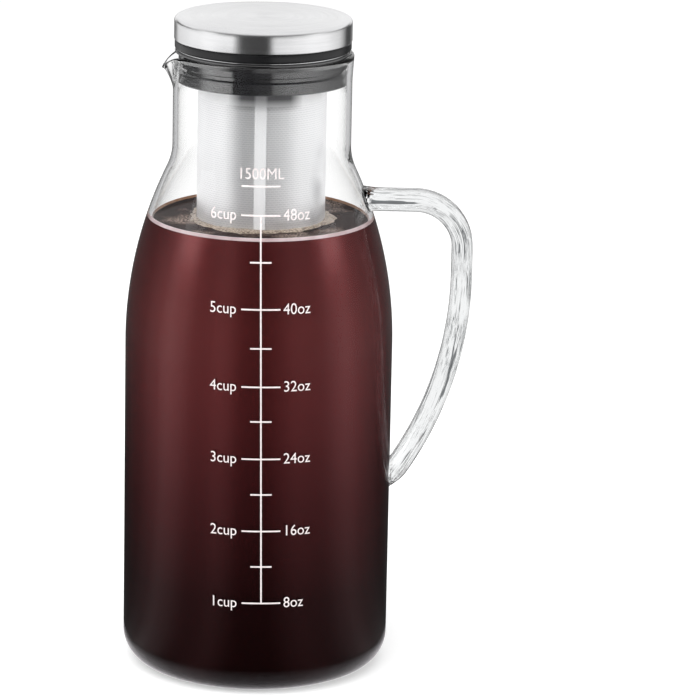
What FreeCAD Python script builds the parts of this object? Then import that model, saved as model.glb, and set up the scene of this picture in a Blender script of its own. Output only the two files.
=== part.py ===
import FreeCAD, Part
import math
import os
import re
import Sketcher

# Cold brew coffee maker: a blown glass jug with a glass handle, a steel filter that hangs in
# its neck on a silicone collar, and a steel lid that plugs the filter's mouth.
#
# Millimetres, +Z up.  The origin is the centre of the base, on the plane that the jug stands
# on.  The spout points to -X, the handle to +X, and the filter's seam faces -Y.
#
# The jug is one blown piece.  Its solids are the base, the side, the shoulder and the neck,
# which meet face to face, so that each is a plain ring or dish.

# Driving sizes: name, value, what it is.
SIZES = (
    # glass jug
    ("body_radius", 52.5, "outside radius of the straight part of the jug"),
    ("glass_wall", 1.9, "thickness of the blown wall"),
    ("base_thickness", 3.2, "thickness of the glass at the middle of the base"),
    ("base_corner", 11.5, "outside radius between the base and the side"),
    ("foot_width", 4.0, "width of the flat ring that the jug stands on"),
    ("base_hollow_depth", 1.0, "depth of the hollow pressed up under the base"),
    ("base_hollow_edge", 4.0, "width of the slope round that hollow"),
    ("shoulder_radius", 162.0, "radius of the long arc of the shoulder"),
    ("neck_blend", 22.0, "radius of the hollow arc between shoulder and neck"),
    ("neck_radius", 34.7, "outside radius of the neck"),
    ("neck_length", 19.0, "height of the plain neck below the mouth"),
    ("mouth_height", 17.2, "height of the hand-shaped mouth above the plain neck"),
    ("rim_height", 245.2, "height of the rim above the ground"),
    ("rim_flare", 0.7, "how far the rim stands out from the neck all round"),
    ("rim_round", 0.7, "radius of the fire-polished edges of the rim"),
    # pouring spout
    ("spout_reach", 3.7, "how far the tip stands out from the neck"),
    ("spout_drop", 5.6, "how far the tip lies below the rim"),
    ("spout_start", 27.0, "distance from the axis at which the rim starts to drop"),
    ("spout_nose", 9.0, "radius of the nose of the spout, seen from above"),
    ("spout_hollow", 18.0, "radius of the hollows on both sides of the nose"),
    # glass handle
    ("handle_drop", 21.2, "distance from the start of the neck down to the middle of the upper arm"),
    ("handle_reach", 78.9, "distance from the axis to the middle of the upright"),
    ("handle_bend", 18.5, "radius of the bend between the upper arm and the upright"),
    ("handle_upright", 11.0, "length of the straight upright below the bend"),
    ("handle_sweep", 142.0, "radius of the long curve back to the jug"),
    ("handle_width", 13.0, "width of the strap, across the handle"),
    ("handle_thickness", 8.2, "thickness of the strap"),
    ("handle_edge", 3.0, "radius of the narrow edges of the strap"),
    ("pad_length", 5.0, "length of the shaped ends where the strap is fused on"),
    ("pad_root", 3.5, "how deep those ends start inside the wall"),
    ("pad_swell", 0.15, "how much wider than the strap its upper end is inside the wall"),
    ("heel_taper", 0.5, "how much narrower than the strap its lower end is inside the wall"),
    # steel filter
    ("tube_radius", 25.0, "outside radius of the filter tube"),
    ("tube_wall", 0.5, "thickness of the filter sheet"),
    ("tube_length", 170.0, "length of the tube below its flange"),
    ("tube_plain", 17.4, "length of the plain band at the top of the tube"),
    ("tube_foot", 8.0, "length of the plain band at the bottom of the tube"),
    ("slit_count", 23, "number of rows of slits"),
    ("slit_height", 1.6, "height of a slit"),
    ("seam_width", 4.2, "width of the plain strips between the slits"),
    ("flange_radius", 33.4, "radius of the steel flange round the filter's mouth"),
    ("sheet_thickness", 0.75, "thickness of the pressed steel parts"),
    ("flange_edge", 0.45, "radius of the rounded edge of the flange"),
    ("flange_sleeve", 9.0, "length of the flange's sleeve inside the tube"),
    ("flange_bend", 1.2, "radius of the bend between flange and sleeve"),
    ("cup_height", 6.0, "height of the side of the filter's bottom cup"),
    ("cup_rise", 2.0, "height of the dome pressed up in the cup"),
    ("cup_flat", 3.0, "width of the flat ring round the dome"),
    # silicone collar
    ("collar_lip_radius", 34.1, "radius of the lip that rests on the rim"),
    ("collar_lip", 0.95, "thickness of that lip"),
    ("collar_depth", 11.0, "how deep the collar reaches into the neck"),
    ("collar_wall", 2.2, "thickness of the collar's outer and inner walls"),
    ("collar_web", 3.2, "thickness of the collar's top web"),
    ("collar_groove", 1.2, "width and depth of the groove round the collar"),
    ("collar_groove_drop", 5.4, "depth of that groove below the rim"),
    ("collar_rib", 1.6, "thickness of the ribs under the collar"),
    ("collar_rib_count", 12, "number of ribs under the collar"),
    # lid
    ("cap_radius", 34.45, "outside radius of the steel cap"),
    ("cap_height", 9.1, "height of the side of the steel cap"),
    ("cap_round", 1.9, "outside radius of the edge of the steel cap"),
    ("cap_wall", 0.6, "thickness of the steel cap"),
    ("cap_hem", 1.4, "width of the edge turned in under the cap"),
    ("gasket_radius", 34.2, "outside radius of the black band under the cap"),
    ("gasket_height", 3.3, "height of that band"),
    ("gasket_width", 8.0, "width of the band from outside to inside"),
    ("gasket_groove", 1.0, "depth of the hollow under the band"),
    ("plug_depth", 8.5, "how deep the plug reaches into the filter"),
    ("plug_radius", 21.6, "radius of the plug's body"),
    ("core_rim", 1.2, "thickness of the lid core's flange"),
    ("core_rib", 1.6, "thickness of the ribs that carry the cap"),
    ("core_rib_count", 8, "number of those ribs"),
    ("core_hub_radius", 6.0, "radius of the hub in the middle of the ribs"),
    ("seal_height", 6.0, "height of the seal round the plug"),
    ("seal_fin", 0.9, "thickness of a fin of that seal"),
    ("seal_fin_count", 3, "number of fins"),
    # clearances
    ("neck_clearance", 0.3, "gap between the collar and the neck"),
    ("plug_clearance", 0.3, "gap between the plug's seal and the filter's mouth"),
    ("seat_clearance", 0.05, "gap between round faces that are fixed to each other"),
)

# Sizes that follow from the ones above: name, formula, what it is.
DERIVED = (
    ("body_inner", "body_radius - glass_wall", "inside radius of the jug"),
    ("inner_corner", "base_corner - glass_wall", "inside radius above the base"),
    ("base_flat", "body_radius - base_corner", "outer radius of the ring it stands on"),
    ("base_ring", "base_flat - foot_width", "inner radius of that ring"),
    ("base_hollow_radius", "base_ring - base_hollow_edge", "radius of the hollow's flat top"),
    ("side_start", "base_thickness + inner_corner", "height at which the straight side starts"),
    ("neck_inner", "neck_radius - glass_wall", "inside radius of the neck"),
    ("mouth_base", "rim_height - mouth_height", "height at which the mouth starts"),
    ("shoulder_centre", "body_radius - shoulder_radius", "axis distance of the shoulder's centre"),
    ("blend_centre", "neck_radius + neck_blend", "axis distance of the blend's centre"),
    ("blend_gap", "blend_centre - shoulder_centre", "distance between those centres across"),
    ("blend_rise", "sqrt((shoulder_radius + neck_blend)^2 - blend_gap^2)", "the same, upwards"),
    ("neck_start", "mouth_base - neck_length", "height at which the plain neck starts"),
    ("body_straight", "neck_start - blend_rise", "height at which the side starts to lean in"),
    ("outer_share", "shoulder_radius / (shoulder_radius + neck_blend)", "share of the way"),
    ("inner_share", "(shoulder_radius - glass_wall) / (shoulder_radius + neck_blend)",
     "the same for the inside wall"),
    ("outer_touch", "shoulder_centre + blend_gap * outer_share", "where the arcs meet, across"),
    ("outer_touch_height", "body_straight + blend_rise * outer_share", "the same, upwards"),
    ("inner_touch", "shoulder_centre + blend_gap * inner_share", "the same, inside"),
    ("inner_touch_height", "body_straight + blend_rise * inner_share", "the same, inside"),
    ("spout_run", "neck_radius + spout_reach - spout_start", "length over which the rim drops"),
    ("rim_arc", "(spout_run^2 + spout_drop^2) / (2 * spout_drop)", "radius of that drop"),
    ("rim_arc_share", "0.97", "share of that radius that the cut spans, past the tip"),
    ("rim_arc_end", "rim_height - rim_arc * (1 - sqrt(1 - rim_arc_share^2))", "where it ends"),
    ("strap_half", "handle_thickness / 2", "half the thickness of the strap"),
    ("strap_side", "handle_width / 2 - handle_edge", "distance of its edge arcs' centres"),
    ("strap_face", "(strap_side^2 + strap_half^2 - handle_edge^2) / (2 * (strap_half - handle_edge))",
     "radius of the strap's broad faces"),
    ("strap_touch", "strap_side * strap_face / (strap_face - handle_edge)", "where its arcs meet"),
    ("strap_touch_rise", "(strap_face - strap_half) * handle_edge / (strap_face - handle_edge)",
     "the same, through the strap"),
    ("handle_root", "neck_radius", "distance from the axis at which the upper arm starts"),
    ("handle_top", "neck_start - handle_drop", "height of the middle of the upper arm"),
    ("bend_start", "handle_reach - handle_bend", "where the upper arm starts to bend"),
    ("bend_end", "handle_top - handle_bend", "height at which the bend ends"),
    ("sweep_start", "bend_end - handle_upright", "height at which the long curve starts"),
    ("sweep_cosine", "(body_radius + handle_sweep - handle_reach) / sqrt(handle_sweep^2 + pad_length^2)",
     "cosine of the curve's turn, were it to go on to the side"),
    ("handle_turn", "(acos(sweep_cosine) - atan(pad_length / handle_sweep)) / 1deg",
     "degrees through which it turns, so that its heel's length is left to the side"),
    ("sweep_end", "handle_reach - handle_sweep * (1 - cos(handle_turn * 1deg))",
     "distance from the axis at which it ends"),
    ("sweep_end_height", "sweep_start - handle_sweep * sin(handle_turn * 1deg)", "its height"),
    ("upper_wall", "shoulder_centre + sqrt(shoulder_radius^2 - (handle_top - body_straight)^2)",
     "distance from the axis at which the upper arm meets the shoulder"),
    ("lower_wall_height", "sweep_end_height - pad_length * cos(handle_turn * 1deg)",
     "height at which the strap meets the side"),
    ("tube_inner", "tube_radius - tube_wall", "inside radius of the filter tube"),
    ("flange_bottom", "rim_height + collar_lip", "underside of the steel flange"),
    ("flange_top", "flange_bottom + sheet_thickness", "top of the steel flange"),
    ("flange_crown", "flange_edge - sqrt(flange_edge^2 - sheet_thickness^2 / 4)",
     "how far that edge bulges"),
    ("tube_bottom", "flange_bottom - tube_length", "lower end of the filter tube"),
    ("mesh_top", "flange_bottom - tube_plain", "top of the slits"),
    ("mesh_bottom", "tube_bottom + tube_foot", "bottom of the slits"),
    ("slit_pitch", "(mesh_top - mesh_bottom - slit_height) / (slit_count - 1)", "from slit to slit"),
    ("seam_turn", "asin(seam_width / 2 / tube_radius) / 1deg", "degrees of half a plain strip"),
    ("sleeve_outer", "tube_inner - seat_clearance", "outside radius of sleeve and cup"),
    ("sleeve_inner", "sleeve_outer - sheet_thickness", "inside radius of sleeve and cup"),
    ("collar_outer", "neck_inner - neck_clearance", "outside radius of the collar"),
    ("collar_inner", "tube_radius + seat_clearance", "inside radius of the collar"),
    ("collar_bottom", "rim_height - collar_depth", "underside of the collar"),
    ("groove_level", "rim_height - collar_groove_drop", "middle of the collar's groove"),
    ("gasket_top", "flange_top + gasket_height", "top of the black band"),
    ("cap_top", "gasket_top + cap_height", "top of the lid"),
    ("cap_ceiling", "cap_top - cap_wall", "underside of the cap's top"),
    ("cap_inner", "cap_radius - cap_wall", "inside radius of the cap"),
    ("core_radius", "cap_inner - seat_clearance", "radius of the lid core's flange"),
    ("plug_bottom", "flange_top - plug_depth", "underside of the plug"),
    ("seal_inner", "plug_radius + seat_clearance", "inside radius of the plug's seal"),
    ("seal_outer", "sleeve_inner - plug_clearance", "radius of the tips of its fins"),
)

document = FreeCAD.newDocument("ColdBrewMaker")
sheet = document.addObject("Spreadsheet::Sheet", "Sizes")
names = []


def fill_sheet():
    """Write the driving and the derived sizes into the spreadsheet."""
    row = 1
    for name, value, note in SIZES:
        write_row(row, name, str(value), note)
        row += 1
    for name, formula, note in DERIVED:
        write_row(row, name, "=" + formula, note)
        row += 1
    document.recompute()


def write_row(row, name, content, note):
    """Write one named cell with its note."""
    sheet.set(f"A{row}", name)
    sheet.set(f"B{row}", content)
    sheet.setAlias(f"B{row}", name)
    sheet.set(f"C{row}", note)
    names.append(name)


def bound(formula):
    """Point the names in a formula at the spreadsheet."""
    return re.sub(
        r"[A-Za-z_]\w*",
        lambda word: "Sizes." + word.group(0) if word.group(0) in names else word.group(0),
        formula,
    )


def value(formula):
    """Number that a formula of named sizes gives."""
    result = sheet.evalExpression(bound(formula))
    return float(getattr(result, "Value", result))


def bind(item, **formulas):
    """Tie properties of an object to formulas of named sizes."""
    for name, formula in formulas.items():
        item.setExpression(name.replace("__", "."), bound(formula))


def new_body(label):
    """Start a sub-part as a PartDesign body."""
    body = document.addObject("PartDesign::Body", label)
    body.Label = label
    return body


def origin_plane(body, role):
    """One of the body's own origin planes."""
    return next(item for item in body.Origin.OriginFeatures if item.Role == role)


def new_sketch(body, name, role, offset="0"):
    """Start a sketch on an origin plane, lifted off it along its normal by a formula."""
    sketch = body.newObject("Sketcher::SketchObject", name)
    sketch.AttachmentSupport = (origin_plane(body, role), "")
    sketch.MapMode = "FlatFace"
    if offset != "0":
        sketch.setExpression(".AttachmentOffset.Base.z", bound(offset))
    return sketch


def bulge_point(start, end, radius):
    """Middle of the shorter arc between two points; a positive radius bends to the right."""
    middle = (start + end) * 0.5
    chord = end - start
    half = chord.Length / 2
    side = FreeCAD.Vector(chord.y, -chord.x, 0).normalize()
    sagitta = abs(radius) - math.sqrt(max(radius * radius - half * half, 0.0))
    return middle + side * math.copysign(sagitta, radius)


def draw(sketch, corners, closed=True):
    """Draw an outline whose corners and radii are formulas of named sizes.

    A corner is (x, y) or (x, y, radius).  A radius bends the side that leaves the corner,
    to the right of its direction when it is positive and to the left when it is negative.
    """
    points = [FreeCAD.Vector(value(corner[0]), value(corner[1]), 0) for corner in corners]
    sides = len(corners) if closed else len(corners) - 1
    first = sketch.GeometryCount
    for index in range(sides):
        start = points[index]
        end = points[(index + 1) % len(points)]
        if len(corners[index]) == 3:
            radius = value(corners[index][2])
            draw_arc(sketch, start, end, radius, corners[index][2])
        else:
            sketch.addGeometry(Part.LineSegment(start, end))
    ends = [curve_ends(sketch, first + index, points[index]) for index in range(sides)]
    for index in range(sides if closed else sides - 1):
        following = (index + 1) % sides
        sketch.addConstraint(Sketcher.Constraint(
            "Coincident", first + index, ends[index][1], first + following, ends[following][0]))
    for index in range(sides):
        pin(sketch, first + index, ends[index][0], corners[index], points[index])
    if not closed:
        pin(sketch, first + sides - 1, ends[-1][1], corners[-1], points[-1])


def draw_arc(sketch, start, end, radius, formula):
    """Add an arc and tie its radius to a formula."""
    circle = Part.Arc(start, bulge_point(start, end, radius), end)
    added = sketch.addGeometry(circle)
    constraint = sketch.addConstraint(Sketcher.Constraint("Radius", added, abs(radius)))
    sketch.setExpression(f"Constraints[{constraint}]", f"abs({bound(formula)})")


def curve_ends(sketch, index, start):
    """Which of a side's two ends comes first along the outline, and which comes last."""
    begin = sketch.getPoint(index, 1)
    finish = sketch.getPoint(index, 2)
    if begin.distanceToPoint(start) <= finish.distanceToPoint(start):
        return 1, 2
    return 2, 1


def pin(sketch, index, end, corner, point):
    """Tie one end of a side to its formulas."""
    for kind, formula, number in (("DistanceX", corner[0], point.x), ("DistanceY", corner[1], point.y)):
        constraint = sketch.addConstraint(Sketcher.Constraint(kind, -1, 1, index, end, number))
        sketch.setExpression(f"Constraints[{constraint}]", bound(formula))


def turn(body, corners, name="Turned"):
    """Add a solid of revolution about the Z axis from a half outline."""
    sketch = new_sketch(body, name + "Outline", "XZ_Plane")
    draw(sketch, corners)
    revolution = body.newObject("PartDesign::Revolution", name)
    revolution.Profile = sketch
    revolution.ReferenceAxis = (sketch, ["V_Axis"])
    revolution.Angle = 360
    document.recompute()
    return revolution


def jug_outer_corners():
    """Outside of the jug from the ring that it stands on to the top of the plain neck."""
    return [
        ("base_flat", "0", "base_corner"),
        ("body_radius", "base_corner"),
        ("body_radius", "body_straight", "shoulder_radius"),
        ("outer_touch", "outer_touch_height", "-neck_blend"),
        ("neck_radius", "neck_start"),
        ("neck_radius", "mouth_base"),
    ]


def make_base():
    """Thick base of the jug, hollowed below, with the rounded corner up to the straight side."""
    body = new_body("carafe_base")
    turn(body, [
        ("0", "base_hollow_depth"),
        ("base_hollow_radius", "base_hollow_depth"),
        ("base_ring", "0"),
        ("base_flat", "0", "base_corner"),
        ("body_radius", "base_corner"),
        ("body_radius", "side_start"),
        ("body_inner", "side_start", "-inner_corner"),
        ("body_inner - inner_corner", "base_thickness"),
        ("0", "base_thickness"),
    ])
    return body


def make_side():
    """Straight side of the jug."""
    body = new_body("carafe_side")
    turn(body, [
        ("body_inner", "side_start"),
        ("body_radius", "side_start"),
        ("body_radius", "body_straight"),
        ("body_inner", "body_straight"),
    ])
    return body


def make_shoulder():
    """Shoulder of the jug: a long arc that leans in and runs out into the neck."""
    body = new_body("carafe_shoulder")
    turn(body, [
        ("body_radius", "body_straight", "shoulder_radius"),
        ("outer_touch", "outer_touch_height", "-neck_blend"),
        ("neck_radius", "neck_start"),
        ("neck_inner", "neck_start", "neck_blend + glass_wall"),
        ("inner_touch", "inner_touch_height", "-(shoulder_radius - glass_wall)"),
        ("body_inner", "body_straight"),
    ])
    return body


def spout_section(radius, reach, nose, hollow, level):
    """Ring round the neck with the spout's nose on it: four arcs that run into each other."""
    nose_centre = FreeCAD.Vector(-(radius + reach - nose), 0, level)
    across = ((radius + hollow) ** 2 - (nose + hollow) ** 2 + nose_centre.x ** 2) / (2 * nose_centre.x)
    along = math.sqrt((radius + hollow) ** 2 - across ** 2)
    axis = FreeCAD.Vector(0, 0, level)
    wires = []
    for side in (1, -1):
        hollow_centre = FreeCAD.Vector(across, side * along, level)
        on_ring = axis + (hollow_centre - axis).normalize() * radius
        on_nose = nose_centre + (hollow_centre - nose_centre).normalize() * nose
        towards = ((on_ring + on_nose) * 0.5 - hollow_centre).normalize()
        wires.append((on_ring, hollow_centre + towards * hollow, on_nose))
    (ring_a, bend_a, nose_a), (ring_b, bend_b, nose_b) = wires
    tip = FreeCAD.Vector(-(radius + reach), 0, level)
    back = FreeCAD.Vector(radius, 0, level)
    arcs = (
        Part.Arc(ring_b, back, ring_a),
        Part.Arc(ring_a, bend_a, nose_a),
        Part.Arc(nose_a, tip, nose_b),
        Part.Arc(nose_b, bend_b, ring_b),
    )
    return Part.Wire([arc.toShape() for arc in arcs])


# Sections of the mouth, from the plain neck up: share of the mouth's height, share of the
# spout's reach, share of the rim's flare.  The tip lies at the section of full reach.
MOUTH_SECTIONS = (
    (0.0, 0.01, 0.0),
    (0.18, 0.04, 0.0),
    (0.42, 0.45, 0.04),
    (0.67, 1.0, 0.4),
    (1.05, 1.75, 1.0),
)


def mouth_solid(name, inset):
    """Loft of the mouth's sections, drawn in from the outside by the inset."""
    sections = []
    for number, (height, reach, flare) in enumerate(MOUTH_SECTIONS):
        wire = document.addObject("Part::Feature", f"{name}Section{number}")
        wire.Shape = spout_section(
            value("neck_radius") + flare * value("rim_flare") - inset,
            reach * value("spout_reach"),
            value("spout_nose") - inset,
            value("spout_hollow") + inset,
            value("mouth_base") + height * value("mouth_height"),
        )
        sections.append(wire)
    loft = document.addObject("Part::Loft", name)
    loft.Sections = sections
    loft.Solid = True
    loft.Ruled = False
    return loft


def rim_cutter():
    """What is cut off above the rim: flat over the neck, dropping in an arc to the spout's tip."""
    body = new_body("RimCutter")
    sketch = new_sketch(body, "RimOutline", "XZ_Plane")
    draw(sketch, [
        ("2 * neck_radius", "rim_height"),
        ("2 * neck_radius", "rim_height + mouth_height"),
        ("-2 * neck_radius", "rim_height + mouth_height"),
        ("-2 * neck_radius", "rim_arc_end"),
        ("-(spout_start + rim_arc * rim_arc_share)", "rim_arc_end", "-rim_arc"),
        ("-spout_start", "rim_height"),
    ])
    pad = body.newObject("PartDesign::Pad", "RimCut")
    pad.Profile = sketch
    pad.Midplane = True
    bind(pad, Length="4 * neck_radius")
    return body


def boolean(kind, label, base, tool):
    """Part boolean of two objects."""
    result = document.addObject(kind, label)
    result.Base = base
    result.Tool = tool
    result.Label = label
    return result


def make_neck():
    """Plain neck of the jug, with a lofted mouth that is drawn out into the spout."""
    wall = new_body("NeckWall")
    turn(wall, [
        ("neck_inner", "neck_start"),
        ("neck_radius", "neck_start"),
        ("neck_radius", "mouth_base"),
        ("neck_inner", "mouth_base"),
    ])
    outside = mouth_solid("MouthOutside", 0.0)
    inside = mouth_solid("MouthInside", value("glass_wall"))
    mouth = boolean("Part::Cut", "MouthWall", outside, inside)
    trimmed = boolean("Part::Cut", "MouthTrimmed", mouth, rim_cutter())
    document.recompute()
    rounded = document.addObject("Part::Fillet", "MouthRounded")
    rounded.Base = trimmed
    rounded.Edges = [(number, value("rim_round"), value("rim_round"))
                     for number in rim_edges(trimmed.Shape)]
    document.recompute()
    return boolean("Part::Fuse", "carafe_neck", wall, rounded)


def rim_edges(shape):
    """Numbers of the edges along the rim: the curved ones round the faces that were cut."""
    rim = []
    for face in shape.Faces:
        if face.BoundBox.ZMin > value("mouth_base") and face.Surface.TypeId != "Part::GeomBSplineSurface":
            rim += [edge for edge in face.Edges if edge.Curve.TypeId != "Part::GeomLine"]
    return [number for number, edge in enumerate(shape.Edges, 1)
            if any(edge.isSame(other) for other in rim)]


def strap_section(body, name, swell, across, level, lean="90"):
    """Cross-section of the strap, swollen by a factor, at a place along its curve.

    The lean is how many degrees the strap's direction stands off the vertical there.
    """
    sketch = new_sketch(body, name, "YZ_Plane")
    sketch.AttachmentOffset = FreeCAD.Placement(
        FreeCAD.Vector(), FreeCAD.Rotation(FreeCAD.Vector(1, 0, 0), -1))
    bind(sketch, AttachmentOffset__Base__y=level, AttachmentOffset__Base__z=across)
    bind(sketch, AttachmentOffset__Rotation__Angle=f"({lean} - 90) * 1deg")
    draw(sketch, [
        (f"{swell} * strap_touch", f"-{swell} * strap_touch_rise", f"{swell} * handle_edge"),
        (f"{swell} * strap_touch", f"{swell} * strap_touch_rise", f"{swell} * strap_face"),
        (f"-{swell} * strap_touch", f"{swell} * strap_touch_rise", f"{swell} * handle_edge"),
        (f"-{swell} * strap_touch", f"-{swell} * strap_touch_rise", f"{swell} * strap_face"),
    ])
    return sketch


# Sections of an end where the strap is fused to the jug: share of the end's length away from
# its root in the wall, and how much of its swelling or taper the strap has there.
PAD_SECTIONS = ((0.0, 1.0), (0.4, 0.45), (1.0, 0.0))


def add_pad(body, name, across, level, lean, change):
    """Loft an end of the strap, swollen or tapered, from inside the wall to the plain section."""
    sections = []
    for number, (share, amount) in enumerate(PAD_SECTIONS):
        run = f"({share} * (pad_length + pad_root) - pad_root)"
        sections.append(strap_section(
            body, f"{name}Section{number}", f"(1 + {amount} * {change})",
            f"{across} + {run} * sin({lean} * 1deg)", f"{level} + {run} * cos({lean} * 1deg)", lean))
    document.recompute()
    pad = body.newObject("PartDesign::AdditiveLoft", name)
    pad.Profile = sections[0]
    pad.Sections = sections[1:]
    document.recompute()
    return pad


def make_handle():
    """Strap handle swept along its curve, with a pad and a heel, cut to the outside of the jug."""
    strap = new_body("HandleStrap")
    path = new_sketch(strap, "HandlePath", "XZ_Plane")
    draw(path, [
        ("handle_root", "handle_top"),
        ("bend_start", "handle_top", "-handle_bend"),
        ("handle_reach", "bend_end"),
        ("handle_reach", "sweep_start", "-handle_sweep"),
        ("sweep_end", "sweep_end_height"),
    ], closed=False)
    section = strap_section(strap, "StrapSection", "1", "handle_root", "handle_top")
    document.recompute()
    pipe = strap.newObject("PartDesign::AdditivePipe", "HandleSweep")
    pipe.Profile = section
    pipe.Spine = (path, [f"Edge{number}" for number in range(1, 5)])
    document.recompute()
    add_pad(strap, "UpperPad", "upper_wall", "handle_top", "90", "pad_swell")
    add_pad(strap, "LowerHeel", "body_radius", "lower_wall_height", "handle_turn", "-heel_taper")
    outside = new_body("JugOutside")
    turn(outside, [("0", "0")] + jug_outer_corners() + [("0", "mouth_base")])
    document.recompute()
    return boolean("Part::Cut", "carafe_handle", strap, outside)


def draw_sector(sketch, start, end):
    """Draw a piece of the filter tube's wall between two angles, in degrees."""
    corners = []
    for radius, angle, bend in (("tube_inner", start, None), ("tube_radius", start, "tube_radius"),
                                ("tube_radius", end, None), ("tube_inner", end, "-tube_inner")):
        corner = (f"{radius} * cos(({angle}) * 1deg)", f"{radius} * sin(({angle}) * 1deg)")
        corners.append(corner if bend is None else corner + (bend,))
    draw(sketch, corners)


def add_band(body, name, low, high):
    """Add a plain band that runs all round the filter tube."""
    return turn(body, [
        ("tube_inner", low),
        ("tube_radius", low),
        ("tube_radius", high),
        ("tube_inner", high),
    ], name)


def make_filter_tube():
    """Etched filter tube: plain bands and strips, with the webs between the slits in rows."""
    body = new_body("filter_tube")
    add_band(body, "LowerBand", "tube_bottom", "mesh_bottom")
    strips = new_sketch(body, "StripOutline", "XY_Plane", "mesh_bottom")
    webs = new_sketch(body, "WebOutline", "XY_Plane", "mesh_bottom + slit_height")
    for quarter in (0, 90, 180, 270):
        draw_sector(strips, f"{quarter} - seam_turn", f"{quarter} + seam_turn")
        draw_sector(webs, f"{quarter} + seam_turn", f"{quarter} + 90 - seam_turn")
    strip = body.newObject("PartDesign::Pad", "Strips")
    strip.Profile = strips
    bind(strip, Length="mesh_top - mesh_bottom")
    document.recompute()
    upper = add_band(body, "UpperBand", "mesh_top", "flange_bottom")
    web = body.newObject("PartDesign::Pad", "Webs")
    web.Profile = webs
    bind(web, Length="slit_pitch - slit_height")
    document.recompute()
    rows = body.newObject("PartDesign::LinearPattern", "WebRows")
    rows.Originals = [web]
    rows.Direction = (webs, ["N_Axis"])
    bind(rows, Length="slit_pitch * (slit_count - 2)", Occurrences="slit_count - 1")
    for feature in (strip, upper, web, rows):
        feature.Refine = False
    body.Tip = rows
    document.recompute()
    return body


def make_filter_rim():
    """Pressed flange round the filter's mouth, with a sleeve welded inside the tube."""
    body = new_body("filter_rim")
    turn(body, [
        ("sleeve_inner", "flange_bottom - flange_sleeve"),
        ("sleeve_outer", "flange_bottom - flange_sleeve"),
        ("sleeve_outer", "flange_bottom"),
        ("flange_radius - flange_crown", "flange_bottom", "flange_edge"),
        ("flange_radius - flange_crown", "flange_top"),
        ("sleeve_inner + flange_bend", "flange_top", "flange_bend"),
        ("sleeve_inner", "flange_top - flange_bend"),
    ])
    return body


def make_filter_base():
    """Pressed cup that closes the filter, with a dome pressed up in it."""
    body = new_body("filter_base")
    turn(body, [
        ("0", "tube_bottom + cup_rise"),
        ("sleeve_inner - cup_flat - cup_rise", "tube_bottom + cup_rise"),
        ("sleeve_inner - cup_flat", "tube_bottom"),
        ("sleeve_outer", "tube_bottom"),
        ("sleeve_outer", "tube_bottom + cup_height"),
        ("sleeve_inner", "tube_bottom + cup_height"),
        ("sleeve_inner", "tube_bottom + sheet_thickness"),
        ("sleeve_inner - cup_flat", "tube_bottom + sheet_thickness"),
        ("sleeve_inner - cup_flat - cup_rise", "tube_bottom + cup_rise + sheet_thickness"),
        ("0", "tube_bottom + cup_rise + sheet_thickness"),
    ])
    return body


def make_collar():
    """Silicone collar: a lip on the rim, a grooved outer wall, and ribs in the hollow below."""
    body = new_body("filter_collar")
    turn(body, [
        ("collar_inner", "collar_bottom"),
        ("collar_inner + collar_wall", "collar_bottom"),
        ("collar_inner + collar_wall", "rim_height - collar_web"),
        ("collar_outer - collar_wall", "rim_height - collar_web"),
        ("collar_outer - collar_wall", "collar_bottom"),
        ("collar_outer", "collar_bottom"),
        ("collar_outer", "groove_level - collar_groove"),
        ("collar_outer - collar_groove", "groove_level - collar_groove / 2"),
        ("collar_outer - collar_groove", "groove_level + collar_groove / 2"),
        ("collar_outer", "groove_level + collar_groove"),
        ("collar_outer", "rim_height"),
        ("collar_lip_radius", "rim_height"),
        ("collar_lip_radius", "rim_height + collar_lip"),
        ("collar_inner", "rim_height + collar_lip"),
    ], "Channel")
    sketch = new_sketch(body, "RibOutline", "XY_Plane", "collar_bottom")
    draw(sketch, [
        ("collar_inner + collar_wall / 2", "-collar_rib / 2"),
        ("collar_outer - collar_wall / 2", "-collar_rib / 2"),
        ("collar_outer - collar_wall / 2", "collar_rib / 2"),
        ("collar_inner + collar_wall / 2", "collar_rib / 2"),
    ])
    rib = body.newObject("PartDesign::Pad", "Rib")
    rib.Profile = sketch
    bind(rib, Length="collar_depth - collar_web / 2")
    document.recompute()
    ring = body.newObject("PartDesign::PolarPattern", "RibRing")
    ring.Originals = [rib]
    ring.Axis = (sketch, ["N_Axis"])
    ring.Angle = 360
    bind(ring, Occurrences="collar_rib_count")
    body.Tip = ring
    document.recompute()
    return body


def make_cap():
    """Deep-drawn steel cap with its lower edge turned in."""
    body = new_body("lid_shell")
    turn(body, [
        ("0", "cap_ceiling"),
        ("cap_radius - cap_round", "cap_ceiling", "-(cap_round - cap_wall)"),
        ("cap_inner", "cap_top - cap_round"),
        ("cap_inner", "gasket_top + cap_wall"),
        ("cap_inner - cap_hem", "gasket_top + cap_wall"),
        ("cap_inner - cap_hem", "gasket_top"),
        ("cap_radius", "gasket_top"),
        ("cap_radius", "cap_top - cap_round", "cap_round"),
        ("cap_radius - cap_round", "cap_top"),
        ("0", "cap_top"),
    ])
    return body


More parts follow.
